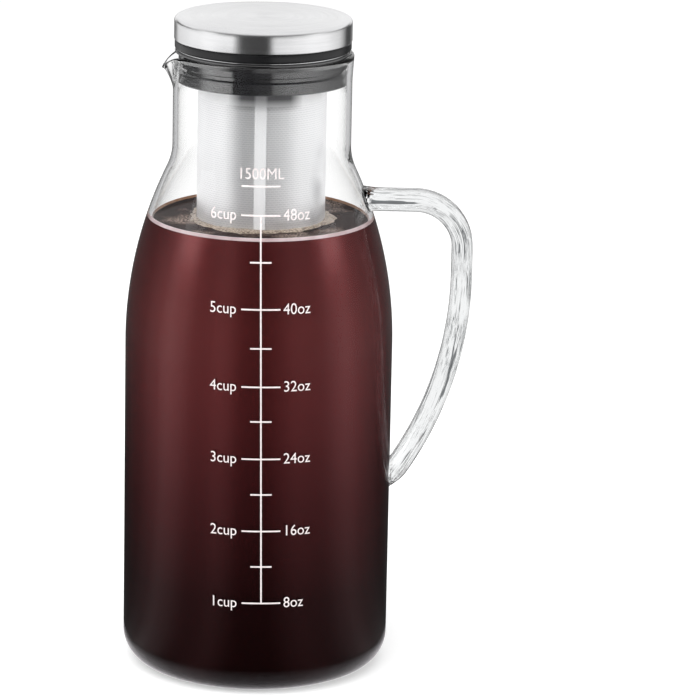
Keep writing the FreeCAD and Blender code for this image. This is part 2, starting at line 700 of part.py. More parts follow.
def make_core():
    """Moulded core: a flange in the cap, ribs that carry the cap, and the plug below."""
    body = new_body("lid_core")
    foot = "gasket_top + cap_wall"
    turn(body, [
        ("0", "plug_bottom"),
        ("plug_radius", "plug_bottom"),
        ("plug_radius", "plug_bottom + seal_height"),
        ("seal_outer", "plug_bottom + seal_height"),
        ("seal_outer", "gasket_top"),
        ("cap_inner - cap_hem - seat_clearance", "gasket_top"),
        ("cap_inner - cap_hem - seat_clearance", foot),
        ("core_radius", foot),
        ("core_radius", f"{foot} + core_rim"),
        ("core_hub_radius", f"{foot} + core_rim"),
        ("core_hub_radius", "cap_ceiling"),
        ("0", "cap_ceiling"),
    ], "Core")
    sketch = new_sketch(body, "RibOutline", "XY_Plane", f"{foot} + core_rim / 2")
    draw(sketch, [
        ("core_hub_radius / 2", "-core_rib / 2"),
        ("core_radius - cap_round", "-core_rib / 2"),
        ("core_radius - cap_round", "core_rib / 2"),
        ("core_hub_radius / 2", "core_rib / 2"),
    ])
    rib = body.newObject("PartDesign::Pad", "Rib")
    rib.Profile = sketch
    bind(rib, Length=f"cap_ceiling - ({foot}) - core_rim / 2")
    document.recompute()
    ring = body.newObject("PartDesign::PolarPattern", "RibRing")
    ring.Originals = [rib]
    ring.Axis = (sketch, ["N_Axis"])
    ring.Angle = 360
    bind(ring, Occurrences="core_rib_count")
    body.Tip = ring
    document.recompute()
    return body


def make_gasket():
    """Black band under the cap, hollowed below so that it seals on the steel flange."""
    body = new_body("lid_gasket")
    inner = "gasket_radius - gasket_width"
    turn(body, [
        (inner, "flange_top"),
        (f"{inner} + gasket_width / 4", "flange_top"),
        (f"{inner} + gasket_width / 4 + gasket_groove", "flange_top + gasket_groove"),
        ("gasket_radius - gasket_width / 4 - gasket_groove", "flange_top + gasket_groove"),
        ("gasket_radius - gasket_width / 4", "flange_top"),
        ("gasket_radius", "flange_top"),
        ("gasket_radius", "gasket_top"),
        (inner, "gasket_top"),
    ])
    return body


def make_seal():
    """Silicone seal round the plug, with fins that press on the filter's sleeve."""
    body = new_body("lid_plug_seal")
    pitch = "seal_height / seal_fin_count"
    root = "(seal_inner + (seal_outer - seal_inner) * 0.45)"
    corners = [("seal_inner", "plug_bottom")]
    for number in range(int(value("seal_fin_count"))):
        foot = f"plug_bottom + {number} * {pitch}"
        corners += [
            (root, foot),
            ("seal_outer", f"{foot} + ({pitch} - seal_fin) / 2"),
            ("seal_outer", f"{foot} + ({pitch} + seal_fin) / 2"),
        ]
    corners += [(root, "plug_bottom + seal_height"), ("seal_inner", "plug_bottom + seal_height")]
    turn(body, corners)
    return body


def check_document():
    """Stop if any object failed to build."""
    for item in document.Objects:
        if "Invalid" in item.State or "Error" in item.State:
            raise RuntimeError(f"{item.Label} did not build: {item.State}")


def write_parts(parts):
    """Check each sub-part's solid and write it to its own STEP file."""
    check_document()
    for part in parts:
        if part.Shape.isNull() or not part.Shape.isValid():
            raise RuntimeError(f"{part.Label} has no valid shape")
    os.makedirs("parts", exist_ok=True)
    for part in parts:
        box = part.Shape.optimalBoundingBox()
        print(f"{part.Label}: {len(part.Shape.Solids)} solid, {part.Shape.Volume:.1f} mm3, "
              f"z {box.ZMin:.2f} to {box.ZMax:.2f}, x {box.XMin:.2f} to {box.XMax:.2f}")
        part.Shape.exportStep(f"parts/{part.Label}.step")


fill_sheet()
sub_parts = [
    make_base(),
    make_side(),
    make_shoulder(),
    make_neck(),
    make_handle(),
    make_filter_tube(),
    make_filter_rim(),
    make_filter_base(),
    make_collar(),
    make_cap(),
    make_core(),
    make_gasket(),
    make_seal(),
]
document.recompute()
write_parts(sub_parts)
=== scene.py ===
import logging
import math
from dataclasses import dataclass, field
from enum import Enum
from typing import Sequence

import bpy
from mathutils import Matrix, Vector


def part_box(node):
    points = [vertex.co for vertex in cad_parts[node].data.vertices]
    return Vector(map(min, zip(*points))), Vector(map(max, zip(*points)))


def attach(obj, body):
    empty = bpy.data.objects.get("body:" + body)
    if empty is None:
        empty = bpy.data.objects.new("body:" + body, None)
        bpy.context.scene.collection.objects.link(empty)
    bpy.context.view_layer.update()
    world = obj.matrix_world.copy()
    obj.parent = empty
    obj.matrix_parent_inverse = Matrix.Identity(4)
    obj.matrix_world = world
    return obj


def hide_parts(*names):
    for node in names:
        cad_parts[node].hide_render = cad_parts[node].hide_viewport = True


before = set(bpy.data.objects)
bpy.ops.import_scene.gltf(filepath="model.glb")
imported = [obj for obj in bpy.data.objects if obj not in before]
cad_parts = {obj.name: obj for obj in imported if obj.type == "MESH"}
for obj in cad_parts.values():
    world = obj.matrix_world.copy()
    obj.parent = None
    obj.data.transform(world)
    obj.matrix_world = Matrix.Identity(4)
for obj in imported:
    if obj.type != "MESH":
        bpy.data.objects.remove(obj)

# Cold brew coffee maker: a blown glass jug with a glass handle, filled with coffee, a steel
# filter that hangs in its neck on a silicone collar, and a steel lid that plugs the filter.
#
# Metres, +Z up.  The origin is the centre of the base, the spout points to -X and the handle
# to +X.  The printed scale and the seam of the filter face -Y.

LOG = logging.getLogger("cold_brew")
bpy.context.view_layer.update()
MM = 0.001
FULL_TURN = 2 * math.pi
SKIN = 0.03 * MM  # how far a finished surface stays inside the frame's box

Object = bpy.types.Object
Tree = bpy.types.NodeTree
Node = bpy.types.Node
Socket = bpy.types.NodeSocket
Sockets = bpy.types.bpy_prop_collection
Point = tuple[float, float]  # distance from the axis and height
Span = tuple[float, float]
Triple = tuple[float, float, float]
Colour = Triple
Stop = tuple[float, ...]  # a stop of an outline, as trace reads it
Value = Socket | float | Triple  # a socket to link or a constant to set

WHITE = (1.0, 1.0, 1.0)
BLACK = (0.0, 0.0, 0.0)


class Body(Enum):
    """Moving bodies of the frame."""

    CARAFE = "carafe"
    FILTER = "filter"
    LID = "lid"


class Slot(Enum):
    """Material slots of the frame's record."""

    GLASS = "glass"
    STEEL = "steel"
    SCREEN = "filter_steel"
    SILICONE = "silicone"
    PLASTIC = "core_plastic"
    COFFEE = "coffee"
    PRINT = "print"


class Way(Enum):
    """Ways of combining two pieces."""

    FUSE = "UNION"
    CUT = "DIFFERENCE"


class Align(Enum):
    """Sides of a text that can stand at its place."""

    LEFT = "LEFT"
    MIDDLE = "CENTER"
    RIGHT = "RIGHT"


# ---- Modelling helpers -------------------------------------


def line_points(start: Point, across: float, up: float, steps: int = 1) -> list[Point]:
    """Points along a straight line.

    Args:
        start: Where the line starts; it isn't repeated.
        across: Distance of the line's end from the axis.
        up: Height of the line's end.
        steps: How many equal lengths the line is cut into.

    Returns:
        The points, up to the line's end.
    """
    points = []
    for step in range(1, steps + 1):
        share = step / steps
        points.append((start[0] + (across - start[0]) * share, start[1] + (up - start[1]) * share))
    return points


def arc_points(start: Point, across: float, up: float, radius: float, steps: int) -> list[Point]:
    """Points along the shorter arc of a circle.

    Args:
        start: Where the arc starts; it isn't repeated.
        across: Distance of the arc's end from the axis.
        up: Height of the arc's end.
        radius: Radius; the arc bulges to the right of its way when it is positive.
        steps: How many chords stand for the arc.

    Returns:
        The points, up to the arc's end.
    """
    start, end = Vector(start), Vector((across, up))
    chord = end - start
    right = Vector((chord.y, -chord.x)).normalized()
    depth = math.sqrt(max(radius * radius - chord.length_squared / 4, 0.0))
    centre = (start + end) / 2 - right * math.copysign(depth, radius)
    spoke, last = start - centre, end - centre
    sweep = math.atan2(spoke.x * last.y - spoke.y * last.x, spoke.dot(last))
    turns = [Matrix.Rotation(sweep * step / steps, 2) for step in range(1, steps + 1)]
    return [tuple(centre + turn @ spoke) for turn in turns]


def trace(stops: Sequence[Stop]) -> list[Point]:
    """Draw an outline beside the Z axis.

    Args:
        stops: Each stop is its distance from the axis and its height.  A third number cuts the
            line to it into that many lengths.  With four numbers an arc leads to it, and the
            last two are the arc's radius and how many chords stand for it.

    Returns:
        The outline's points.
    """
    points = [stops[0]]
    for stop in stops[1:]:
        draw = arc_points if len(stop) == 4 else line_points
        points += draw(points[-1], *stop)
    return points


def deselect_all() -> None:
    """Leave edit mode and deselect every object."""
    if bpy.context.object and bpy.context.object.mode != "OBJECT":
        bpy.ops.object.mode_set(mode="OBJECT")
    bpy.ops.object.select_all(action="DESELECT")


def make_active(piece: Object) -> None:
    """Select one object alone and make it the active one.

    Args:
        piece: The object.
    """
    deselect_all()
    piece.select_set(True)
    bpy.context.view_layer.objects.active = piece


def settle(piece: Object) -> None:
    """Put an object's place, turn and scale into its mesh."""
    make_active(piece)
    bpy.ops.object.transform_apply(location=True, rotation=True, scale=True)


def name_piece(piece: Object, name: str) -> None:
    """Give an object and its mesh the same name."""
    piece.name = name
    piece.data.name = name


def smooth(piece: Object, degrees: float = 32.0) -> None:
    """Shade a piece smooth, with edges sharper than an angle kept sharp."""
    make_active(piece)
    bpy.ops.object.shade_smooth_by_angle(angle=math.radians(degrees))


def clean_mesh(piece: Object, gap: float = 1e-6) -> None:
    """Merge doubled points and turn all faces outwards.

    Args:
        piece: The piece.
        gap: How close two points are when they count as one.
    """
    make_active(piece)
    bpy.ops.object.mode_set(mode="EDIT")
    bpy.ops.mesh.select_all(action="SELECT")
    bpy.ops.mesh.remove_doubles(threshold=gap)
    bpy.ops.mesh.normals_make_consistent(inside=False)
    bpy.ops.object.mode_set(mode="OBJECT")


def close_outline(piece: Object) -> None:
    """Join the two loose ends of the outline that is in edit mode.

    Args:
        piece: The outline's object.
    """
    bpy.ops.mesh.select_all(action="DESELECT")
    bpy.ops.object.mode_set(mode="OBJECT")
    uses = [0] * len(piece.data.vertices)
    for edge in piece.data.edges:
        for corner in edge.vertices:
            uses[corner] += 1
    for corner, count in zip(piece.data.vertices, uses):
        corner.select = count == 1
    bpy.ops.object.mode_set(mode="EDIT")
    bpy.ops.mesh.select_mode(type="VERT")
    bpy.ops.mesh.edge_face_add()


def lathe(name: str, stops: Sequence[Stop], steps: int = 96) -> Object:
    """Turn a half outline about the Z axis into a closed piece.

    Args:
        name: Name of the piece.
        stops: Its half outline, as in trace; one that starts or ends off the axis is closed.
        steps: Number of flats round the piece.

    Returns:
        The turned piece.
    """
    points = trace(stops)
    deselect_all()
    across, up = points[0]
    bpy.ops.mesh.primitive_plane_add(size=MM, location=(across, 0, up))
    piece = bpy.context.active_object
    name_piece(piece, name)
    settle(piece)
    bpy.ops.object.mode_set(mode="EDIT")
    bpy.ops.mesh.select_all(action="SELECT")
    bpy.ops.mesh.merge(type="CENTER")
    for following in points[1:]:
        step = (following[0] - across, 0, following[1] - up)
        bpy.ops.mesh.extrude_vertices_move(TRANSFORM_OT_translate={"value": step})
        across, up = following
    if points[0][0] > 0 or points[-1][0] > 0:
        close_outline(piece)
    bpy.ops.mesh.select_all(action="SELECT")
    bpy.ops.mesh.spin(steps=steps, angle=FULL_TURN, center=(0, 0, 0), axis=(0, 0, 1))
    clean_mesh(piece)
    smooth(piece)
    return piece


def block(size: Triple, centre: Triple) -> Object:
    """Make a plain block.

    Args:
        size: Its length along each axis.
        centre: Its middle.

    Returns:
        The block.
    """
    deselect_all()
    bpy.ops.mesh.primitive_cube_add(size=1.0)
    piece = bpy.context.active_object
    piece.scale = size
    piece.location = centre
    settle(piece)
    return piece


def combine(base: Object, tool: Object, way: Way) -> None:
    """Fuse or cut one piece with another, which is used up.

    Args:
        base: The piece that stays.
        tool: The piece that is taken away afterwards.
        way: What is done.
    """
    make_active(base)
    modifier = base.modifiers.new("Boolean", "BOOLEAN")
    modifier.operation = way.value
    modifier.object = tool
    modifier.solver = "EXACT"
    bpy.ops.object.modifier_apply(modifier=modifier.name)
    bpy.data.objects.remove(tool)


def add_ribs(base: Object, count: int, size: Triple, centre: Triple) -> None:
    """Fuse a ring of equal ribs to a piece.

    Args:
        base: The piece.
        count: Number of ribs round the axis.
        size: Length, width and height of a rib.
        centre: Middle of the first one.
    """
    first = block(size, centre)
    for number in range(count):
        rib = first.copy()
        rib.data = first.data.copy()
        bpy.context.collection.objects.link(rib)
        rib.data.transform(Matrix.Rotation(FULL_TURN * number / count, 4, "Z"))
        combine(base, rib, Way.FUSE)
    bpy.data.objects.remove(first)
    smooth(base)


def join(pieces: list[Object], name: str) -> Object:
    """Make one object of several.

    Args:
        pieces: The objects to join; the first one stays.
        name: Name of the joined piece.

    Returns:
        The joined piece.
    """
    make_active(pieces[0])
    for piece in pieces[1:]:
        piece.select_set(True)
    bpy.ops.object.join()
    name_piece(pieces[0], name)
    return pieces[0]


def ease(share: float) -> float:
    """Go from 0 to 1 with a level start and end."""
    share = min(max(share, 0.0), 1.0)
    return share * share * (3 - 2 * share)


def curve_through(stations: tuple[Point, ...], at: float) -> float:
    """Read a smooth curve through a few stations.

    Args:
        stations: Pairs of place and value, in rising order of place.
        at: Place at which the curve is read.

    Returns:
        The curve's value there, on a cubic with slopes from the neighbouring stations.
    """
    if at <= stations[0][0]:
        return stations[0][1]
    for index in range(len(stations) - 1):
        (x0, y0), (x1, y1) = stations[index], stations[index + 1]
        if at <= x1:
            before = stations[max(index - 1, 0)]
            after = stations[min(index + 2, len(stations) - 1)]
            run = x1 - x0
            slope0 = (y1 - before[1]) / (x1 - before[0]) * run
            slope1 = (after[1] - y0) / (after[0] - x0) * run
            t = (at - x0) / run
            return ((2 * t**3 - 3 * t**2 + 1) * y0 + (t**3 - 2 * t**2 + t) * slope0
                    + (3 * t**2 - 2 * t**3) * y1 + (t**3 - t**2) * slope1)
    return stations[-1][1]


# ---- Shader nodes ------------------------------------------


class Nodes:
    """Small hand for wiring a node tree."""

    def __init__(self, tree: Tree) -> None:
        """Take the tree to work on."""
        self.tree = tree

    def fill(self, node: Node, inputs: dict[str | int, Value]) -> None:
        """Link or set a node's inputs.

        Args:
            node: The node.
            inputs: Values by the name or the number of their input.
        """
        for key, value in inputs.items():
            socket = node.inputs[key]
            if isinstance(value, Socket):
                self.tree.links.new(value, socket)
            elif socket.type == "RGBA":
                socket.default_value = (*value, 1.0)
            else:
                socket.default_value = value

    def add(self, kind: str, inputs: dict[str | int, Value] | None = None,
            **settings) -> Node:
        """Add a node.

        Args:
            kind: The node's type name.
            inputs: Values of its inputs, as in fill.
            **settings: Properties of the node.

        Returns:
            The node.
        """
        node = self.tree.nodes.new(kind)
        for key, value in settings.items():
            setattr(node, key, value)
        self.fill(node, inputs or {})
        return node

    def use(self, group: "ShaderGroup", **inputs: Value) -> Sockets:
        """Outputs of a shader group that is fed with some inputs."""
        return self.add("ShaderNodeGroup", inputs, node_tree=group.tree()).outputs

    def math(self, operation: str, *values: Value) -> Socket:
        """One step of arithmetic, by its name."""
        return self.add("ShaderNodeMath", dict(enumerate(values)), operation=operation).outputs[0]

    def plus(self, first: Value, second: Value) -> Socket:
        """Sum of two values."""
        return self.math("ADD", first, second)

    def minus(self, first: Value, second: Value) -> Socket:
        """What is left of the first value without the second."""
        return self.math("SUBTRACT", first, second)

    def times(self, first: Value, second: Value, *others: Value) -> Socket:
        """Product of two or more values."""
        product = self.math("MULTIPLY", first, second)
        return self.times(product, *others) if others else product

    def blend(self, factor: Value, first: Value, second: Value) -> Socket:
        """Mix of two colours: the first where the factor is 0, the second where it is 1."""
        inputs = {0: factor, 6: first, 7: second}
        return self.add("ShaderNodeMix", inputs, data_type="RGBA").outputs[2]

    def ramp(self, factor: Socket, stops: Sequence[tuple[float, Colour]]) -> Socket:
        """Turn a number into a colour by a ramp.

        Args:
            factor: Socket with the number.
            stops: Pairs of place and colour, in rising order of place.

        Returns:
            The socket with the colour.
        """
        node = self.add("ShaderNodeValToRGB", {0: factor})
        elements = node.color_ramp.elements
        for element, (place, colour) in zip((elements[0], elements[1]), (stops[0], stops[-1])):
            element.position = place
            element.color = (*colour, 1.0)
        for place, colour in stops[1:-1]:
            elements.new(place).color = (*colour, 1.0)
        return node.outputs[0]

    def spread(self, value: Value, low: float, high: float, to_low: float = 0.0,
               to_high: float = 1.0) -> Socket:
        """Stretch the span from low to high over another, held at its ends."""
        inputs = dict(enumerate((value, low, high, to_low, to_high)))
        return self.add("ShaderNodeMapRange", inputs).outputs[0]

    def noise(self, place: Socket, scale: Value, detail: float, roughness: float = 0.5) -> Socket:
        """Read a noise texture.

        Args:
            place: Socket with the place.
            scale: Number of blotches in a unit.
            detail: Number of finer layers.
            roughness: Weight of the finer layers.

        Returns:
            The socket with the noise.
        """
        inputs = {"Vector": place, "Scale": scale, "Detail": detail, "Roughness": roughness}
        return self.add("ShaderNodeTexNoise", inputs).outputs[0]

    def cells(self, place: Socket, scale: float, feature: str = "F1") -> Socket:
        """Distances in a texture of cells."""
        inputs = {"Vector": place, "Scale": scale}
        return self.add("ShaderNodeTexVoronoi", inputs, feature=feature).outputs["Distance"]

    def stretch(self, place: Socket, scale: Triple) -> Socket:
        """Place that is scaled along each axis."""
        return self.add("ShaderNodeMapping", {"Vector": place, "Scale": scale}).outputs[0]

    def place(self, scale: Triple = (1.0, 1.0, 1.0)) -> Socket:
        """Object coordinates, scaled along each axis."""
        return self.stretch(self.add("ShaderNodeTexCoord").outputs["Object"], scale)

    def split(self, vector: Socket) -> tuple[Socket, ...]:
        """The three parts of a vector."""
        return tuple(self.add("ShaderNodeSeparateXYZ", {0: vector}).outputs)

    def bearing(self, x: Socket, y: Socket) -> Socket:
        """Angle of a place from the front, to the right."""
        return self.math("ARCTAN2", x, self.times(y, -1.0))

    def reach(self, x: Socket, y: Socket) -> Socket:
        """Distance of a place from the Z axis."""
        return self.math("SQRT", self.plus(self.times(x, x), self.times(y, y)))

    def round_place(self, radius: float) -> Socket:
        """Place on a turned surface.

        Args:
            radius: Radius at which the way round is measured.

        Returns:
            The socket with the way round, the distance from the axis and the height.
        """
        x, y, z = self.split(self.place())
        inputs = {0: self.times(self.bearing(x, y), radius), 1: self.reach(x, y), 2: z}
        return self.add("ShaderNodeCombineXYZ", inputs).outputs[0]

    def bump(self, height: Socket, strength: float, distance: float) -> Socket:
        """Normal of a relief whose height of 1 stands for a distance in metres."""
        inputs = {"Height": height, "Strength": strength, "Distance": distance}
        return self.add("ShaderNodeBump", inputs).outputs[0]


class ShaderGroup:
    """A shader group, made once and shared by all that use it.

    Its inputs are socket types by name, and its outputs are names of sockets of one type.
    """

    inputs = {"Place": "NodeSocketVector", "Scale": "NodeSocketFloat"}
    outputs: tuple[str, ...] = ()
    output_type = "NodeSocketFloat"

    def tree(self) -> Tree:
        """Find the group, or build it the first time.

        Returns:
            Its node tree.
        """
        name = type(self).__name__
        if name in bpy.data.node_groups:
            return bpy.data.node_groups[name]
        tree = bpy.data.node_groups.new(name, "ShaderNodeTree")
        for label, kind in self.inputs.items():
            tree.interface.new_socket(name=label, in_out="INPUT", socket_type=kind)
        for label in self.outputs:
            tree.interface.new_socket(name=label, in_out="OUTPUT", socket_type=self.output_type)
        nodes = Nodes(tree)
        given = nodes.add("NodeGroupInput").outputs
        nodes.fill(nodes.add("NodeGroupOutput"), self.wire(nodes, given))
        return tree

    def wire(self, nodes: Nodes, given: Sockets) -> dict[str, Socket]:
        """Wire the group's nodes.

        Args:
            nodes: Hand for them.
            given: The group's inputs.

        Returns:
            What each output gets.
        """
        raise NotImplementedError


class SteelGrain(ShaderGroup):
    """Fine lines that a belt or a wheel leaves in steel.

    The place comes stretched along the lines.  Outputs are a shade for the colour, a shade for
    the roughness and a height.
    """

    outputs = ("Shade", "Roughness", "Height")

    def wire(self, nodes: Nodes, given: Sockets) -> dict[str, Socket]:
        """Wire the grain; see ShaderGroup."""
        place, scale = given["Place"], given["Scale"]
        fine = nodes.noise(place, scale, 5.0, 0.7)
        broad = nodes.noise(place, nodes.times(scale, 0.13), 2.0)
        both = nodes.plus(nodes.times(fine, 0.7), nodes.times(broad, 0.3))
        return {"Shade": nodes.spread(both, 0.3, 0.7), "Height": fine,
                "Roughness": nodes.spread(broad, 0.3, 0.7)}


class HandlingWear(ShaderGroup):
    """Faint smudges and dust that any handled surface carries, as two masks."""

    outputs = ("Smudge", "Specks")

    def wire(self, nodes: Nodes, given: Sockets) -> dict[str, Socket]:
        """Wire the wear; see ShaderGroup."""
        cloud = nodes.noise(given["Place"], given["Scale"], 4.0)
        dots = nodes.noise(given["Place"], nodes.times(given["Scale"], 22.0), 1.0)
        return {"Smudge": nodes.spread(cloud, 0.42, 0.72), "Specks": nodes.spread(dots, 0.66, 0.74)}


# Levels of the studio that gloss sees, by bearing in degrees to the right of the front: near
# the object, further away, from inside the glass (the coffee), and from inside the neck (the
# collar and the filter).
GLOSS_LEVELS = {
    "Near": (
        (-180, 0.10), (-147, 0.08), (-112, 0.14), (-92, 0.40), (-80, 1.0), (-66, 0.85), (-54, 0.25),
        (-32, 0.10), (-12, 0.02), (9, 0.02), (30, 0.14), (51, 0.42), (66, 0.85), (78, 0.90),
        (92, 0.45), (123, 0.14), (180, 0.10)),
    "Inner": (
        (-180, 0.08), (-150, 0.10), (-125, 0.26), (-105, 0.48), (-92, 0.72), (-78, 1.0), (-66, 0.72),
        (-52, 0.46), (-43, 0.50), (-31, 0.84), (-22, 0.55), (-13, 0.21), (11, 0.19), (20, 0.36),
        (33, 0.62), (46, 0.48), (58, 0.42), (70, 0.66), (82, 0.92), (95, 0.64), (112, 0.36),
        (130, 0.16), (180, 0.08)),
    "Far": (
        (-180, 0.15), (-151, 0.20), (-141, 0.70), (-100, 1.0), (-50, 1.1), (-38, 1.08), (-32, 0.35),
        (-27, 0.06), (9, 0.05), (13, 0.65), (17, 0.95), (60, 0.98), (90, 0.95), (117, 0.66),
        (136, 0.06), (152, 0.06), (166, 0.30), (180, 0.30)),
    "Collar": (
        (-180, 0.02), (-112, 0.02), (-93, 0.04), (-83, 0.80), (-74, 1.3), (-42, 1.2), (-37, 0.05),
        (12, 0.05), (16, 0.60), (32, 0.80), (50, 0.95), (80, 0.65), (105, 0.30), (130, 0.10),
        (150, 0.03), (180, 0.02)),
    "Filter": (
        (-180, 1.2), (-60, 1.1), (-52, 0.75), (-42, 0.18), (-36, 0.04), (-15, 0.06), (-6, 0.30),
        (8, 0.34), (14, 0.40), (32, 0.42), (48, 0.55), (62, 0.95), (90, 1.1), (180, 1.2)),
}


class StudioGloss(ShaderGroup):
    """Levels of the studio that gloss sees in the direction of a place."""

    inputs = {"Place": "NodeSocketVector"}
    outputs = tuple(GLOSS_LEVELS)
    output_type = "NodeSocketColor"

    def wire(self, nodes: Nodes, given: Sockets) -> dict[str, Socket]:
        """Wire the levels; see ShaderGroup."""
        x, y, _ = nodes.split(given["Place"])
        share = nodes.spread(nodes.bearing(x, y), -math.pi, math.pi)
        stops = {label: [((angle + 180) / 360, (level,) * 3) for angle, level in levels]
                 for label, levels in GLOSS_LEVELS.items()}
        return {label: nodes.ramp(share, stops[label]) for label in stops}


class Rays:
    """What the studio can tell of a ray that reaches it, each as 0 or 1.

    A ray is from_glass when it crossed glass on its way, from_neck when it crossed the neck's
    wall and met the collar or the filter there, and satin when the last piece scattered it.
    """

    neck_crossings = 2.5

    def __init__(self, nodes: Nodes) -> None:
        """Read the ray's path.

        Args:
            nodes: Hand for the nodes of the floor or the world.
        """
        path = nodes.add("ShaderNodeLightPath").outputs
        crossed = path["Transmission Depth"]
        self.camera, self.glossy = path["Is Camera Ray"], path["Is Glossy Ray"]
        self.transmitted = path["Is Transmission Ray"]
        self.reflected = nodes.math("MINIMUM", path["Glossy Depth"], 1.0)
        self.from_glass = nodes.math("MINIMUM", crossed, 1.0)
        self.from_neck = nodes.math("GREATER_THAN", crossed, self.neck_crossings)
        self.satin = nodes.minus(1.0, path["Is Singular Ray"])


# ---- Finishes ----------------------------------------------


@dataclass(frozen=True, kw_only=True)
class Finish:
    """A finish: a named material with nodes of its own."""

    name: str

    def material(self) -> bpy.types.Material:
        """Build the material.

        Returns:
            The material.
        """
        material = bpy.data.materials.new(self.name)
        material.use_nodes = True
        nodes = Nodes(material.node_tree)
        self.wire(nodes, nodes.tree.nodes["Principled BSDF"])
        return material

    def wire(self, nodes: Nodes, surface: Node) -> None:
        """Wire the material's nodes.

        Args:
            nodes: Hand for them.
            surface: The material's Principled BSDF.
        """
        raise NotImplementedError


@dataclass(frozen=True, kw_only=True)
class ClearGlass(Finish):
    """Clear borosilicate glass: dark where it is seen edge on, and streaked in the strap, where
    it was drawn out.

    The dark edge is painted shade, and so is the dark of the streaks, which follow real cords in
    the strap's relief.  The powers tell how narrow the dark edge is on the jug and on the strap,
    and the streaks are spans of noise over which a line goes from clear to dark.
    """

    name: str = "clear_borosilicate_glass"
    through: Colour = (1.0, 1.0, 1.0)
    # Painted shade: the glass turns towards this colour where it is seen edge on.
    edge: Colour = (0.03, 0.032, 0.034)
    strap: Colour = (0.87, 0.875, 0.88)
    # Painted shade: colour of the dark lines along the strap's cords.
    painted_streak_shade: Colour = (0.04, 0.043, 0.046)
    glint: Colour = (0.25, 0.25, 0.26)
    shadow: Colour = (0.96, 0.97, 0.97)
    tint: Colour = (0.80, 0.83, 0.82)
    ior: float = 1.47
    absorption: float = 16.0
    painted_edge_power: float = 9.0
    strap_power: float = 3.5
    fine_painted_streak: Span = (0.57, 0.68)
    cord_painted_streak: Span = (0.625, 0.655)
    cord_relief: float = 1.6
    wave_relief: float = 0.025
    most_crossings: float = 5.0

    def wire(self, nodes: Nodes, surface: Node) -> None:
        """Wire the glass; see Finish."""
        facing = nodes.add("ShaderNodeLayerWeight", {"Blend": 0.5}).outputs["Facing"]
        drawn = nodes.add("ShaderNodeAttribute", attribute_name="drawn").outputs["Vector"]
        on_strap = nodes.add("ShaderNodeAttribute", attribute_name="strap").outputs["Fac"]
        cords = nodes.noise(drawn, 1.0, 3.0)
        # Masks of the strap's streaks; their relief is real, their dark colour is painted shade.
        fine = nodes.spread(nodes.noise(drawn, 2.7, 2.0), *self.fine_painted_streak)
        lines = nodes.math("MAXIMUM", fine, nodes.spread(cords, *self.cord_painted_streak))
        colour = nodes.blend(on_strap, self.through, self.strap)
        colour = nodes.blend(nodes.times(lines, on_strap), colour, self.painted_streak_shade)
        power = nodes.spread(on_strap, 0.0, 1.0, self.painted_edge_power, self.strap_power)
        waves = nodes.noise(nodes.place((1.0, 1.0, 0.3)), 24.0, 1.0)
        relief = nodes.plus(nodes.times(waves, self.wave_relief),
                            nodes.times(cords, on_strap, self.cord_relief))
        # The base colour darkens where the glass is seen edge on: painted shade.
        nodes.fill(surface, {
            "Base Color": nodes.blend(nodes.math("POWER", facing, power), colour, self.edge),
            "Roughness": 0.0,
            "IOR": self.ior,
            "Specular Tint": self.glint,
            "Transmission Weight": 1.0,
            "Normal": nodes.bump(relief, 1.0, 0.5 * MM),
        })
        path = nodes.add("ShaderNodeLightPath").outputs
        trapped = nodes.math("GREATER_THAN", path["Transmission Depth"], self.most_crossings)
        clear = nodes.add("ShaderNodeBsdfTransparent", {"Color": self.shadow}).outputs[0]
        unseen = nodes.math("MAXIMUM", path["Is Shadow Ray"], trapped)
        mixed = nodes.add("ShaderNodeMixShader", {0: unseen, 1: surface.outputs[0], 2: clear})
        depth = nodes.add("ShaderNodeVolumeAbsorption",
                          {"Color": self.tint, "Density": self.absorption})
        nodes.fill(nodes.tree.nodes["Material Output"],
                   {"Surface": mixed.outputs[0], "Volume": depth.outputs[0]})


@dataclass(frozen=True, kw_only=True)
class BrushedSteel(Finish):
    """Satin stainless steel, brushed round a turned piece."""

    name: str = "brushed_stainless_steel"
    light: Colour = (0.94, 0.94, 0.95)
    dark: Colour = (0.82, 0.82, 0.83)
    smudge: Colour = (0.55, 0.55, 0.56)
    roughness: float = 0.19
    grain: float = 900.0
    radius: float = 34 * MM

    def wire(self, nodes: Nodes, surface: Node) -> None:
        """Wire the steel; see Finish."""
        place = nodes.stretch(nodes.round_place(self.radius), (0.035, 1.0, 1.0))
        grain = nodes.use(SteelGrain(), Place=place, Scale=self.grain)
        smudge = nodes.use(HandlingWear(), Place=nodes.place(), Scale=38.0)["Smudge"]
        colour = nodes.blend(grain["Shade"], self.dark, self.light)
        rough = nodes.spread(grain["Roughness"], 0.0, 1.0,
                             self.roughness - 0.05, self.roughness + 0.07)
        tangent = nodes.add("ShaderNodeTangent", direction_type="RADIAL", axis="Z")
        nodes.fill(surface, {
            "Base Color": nodes.blend(nodes.times(smudge, 0.12), colour, self.smudge),
            "Metallic": 1.0,
            "Roughness": nodes.plus(rough, nodes.times(smudge, 0.06)),
            "Anisotropic": 0.75,
            "Anisotropic Rotation": 0.25,
            "Tangent": tangent.outputs[0],
            "Normal": nodes.bump(grain["Height"], 0.08, 0.05 * MM),
        })


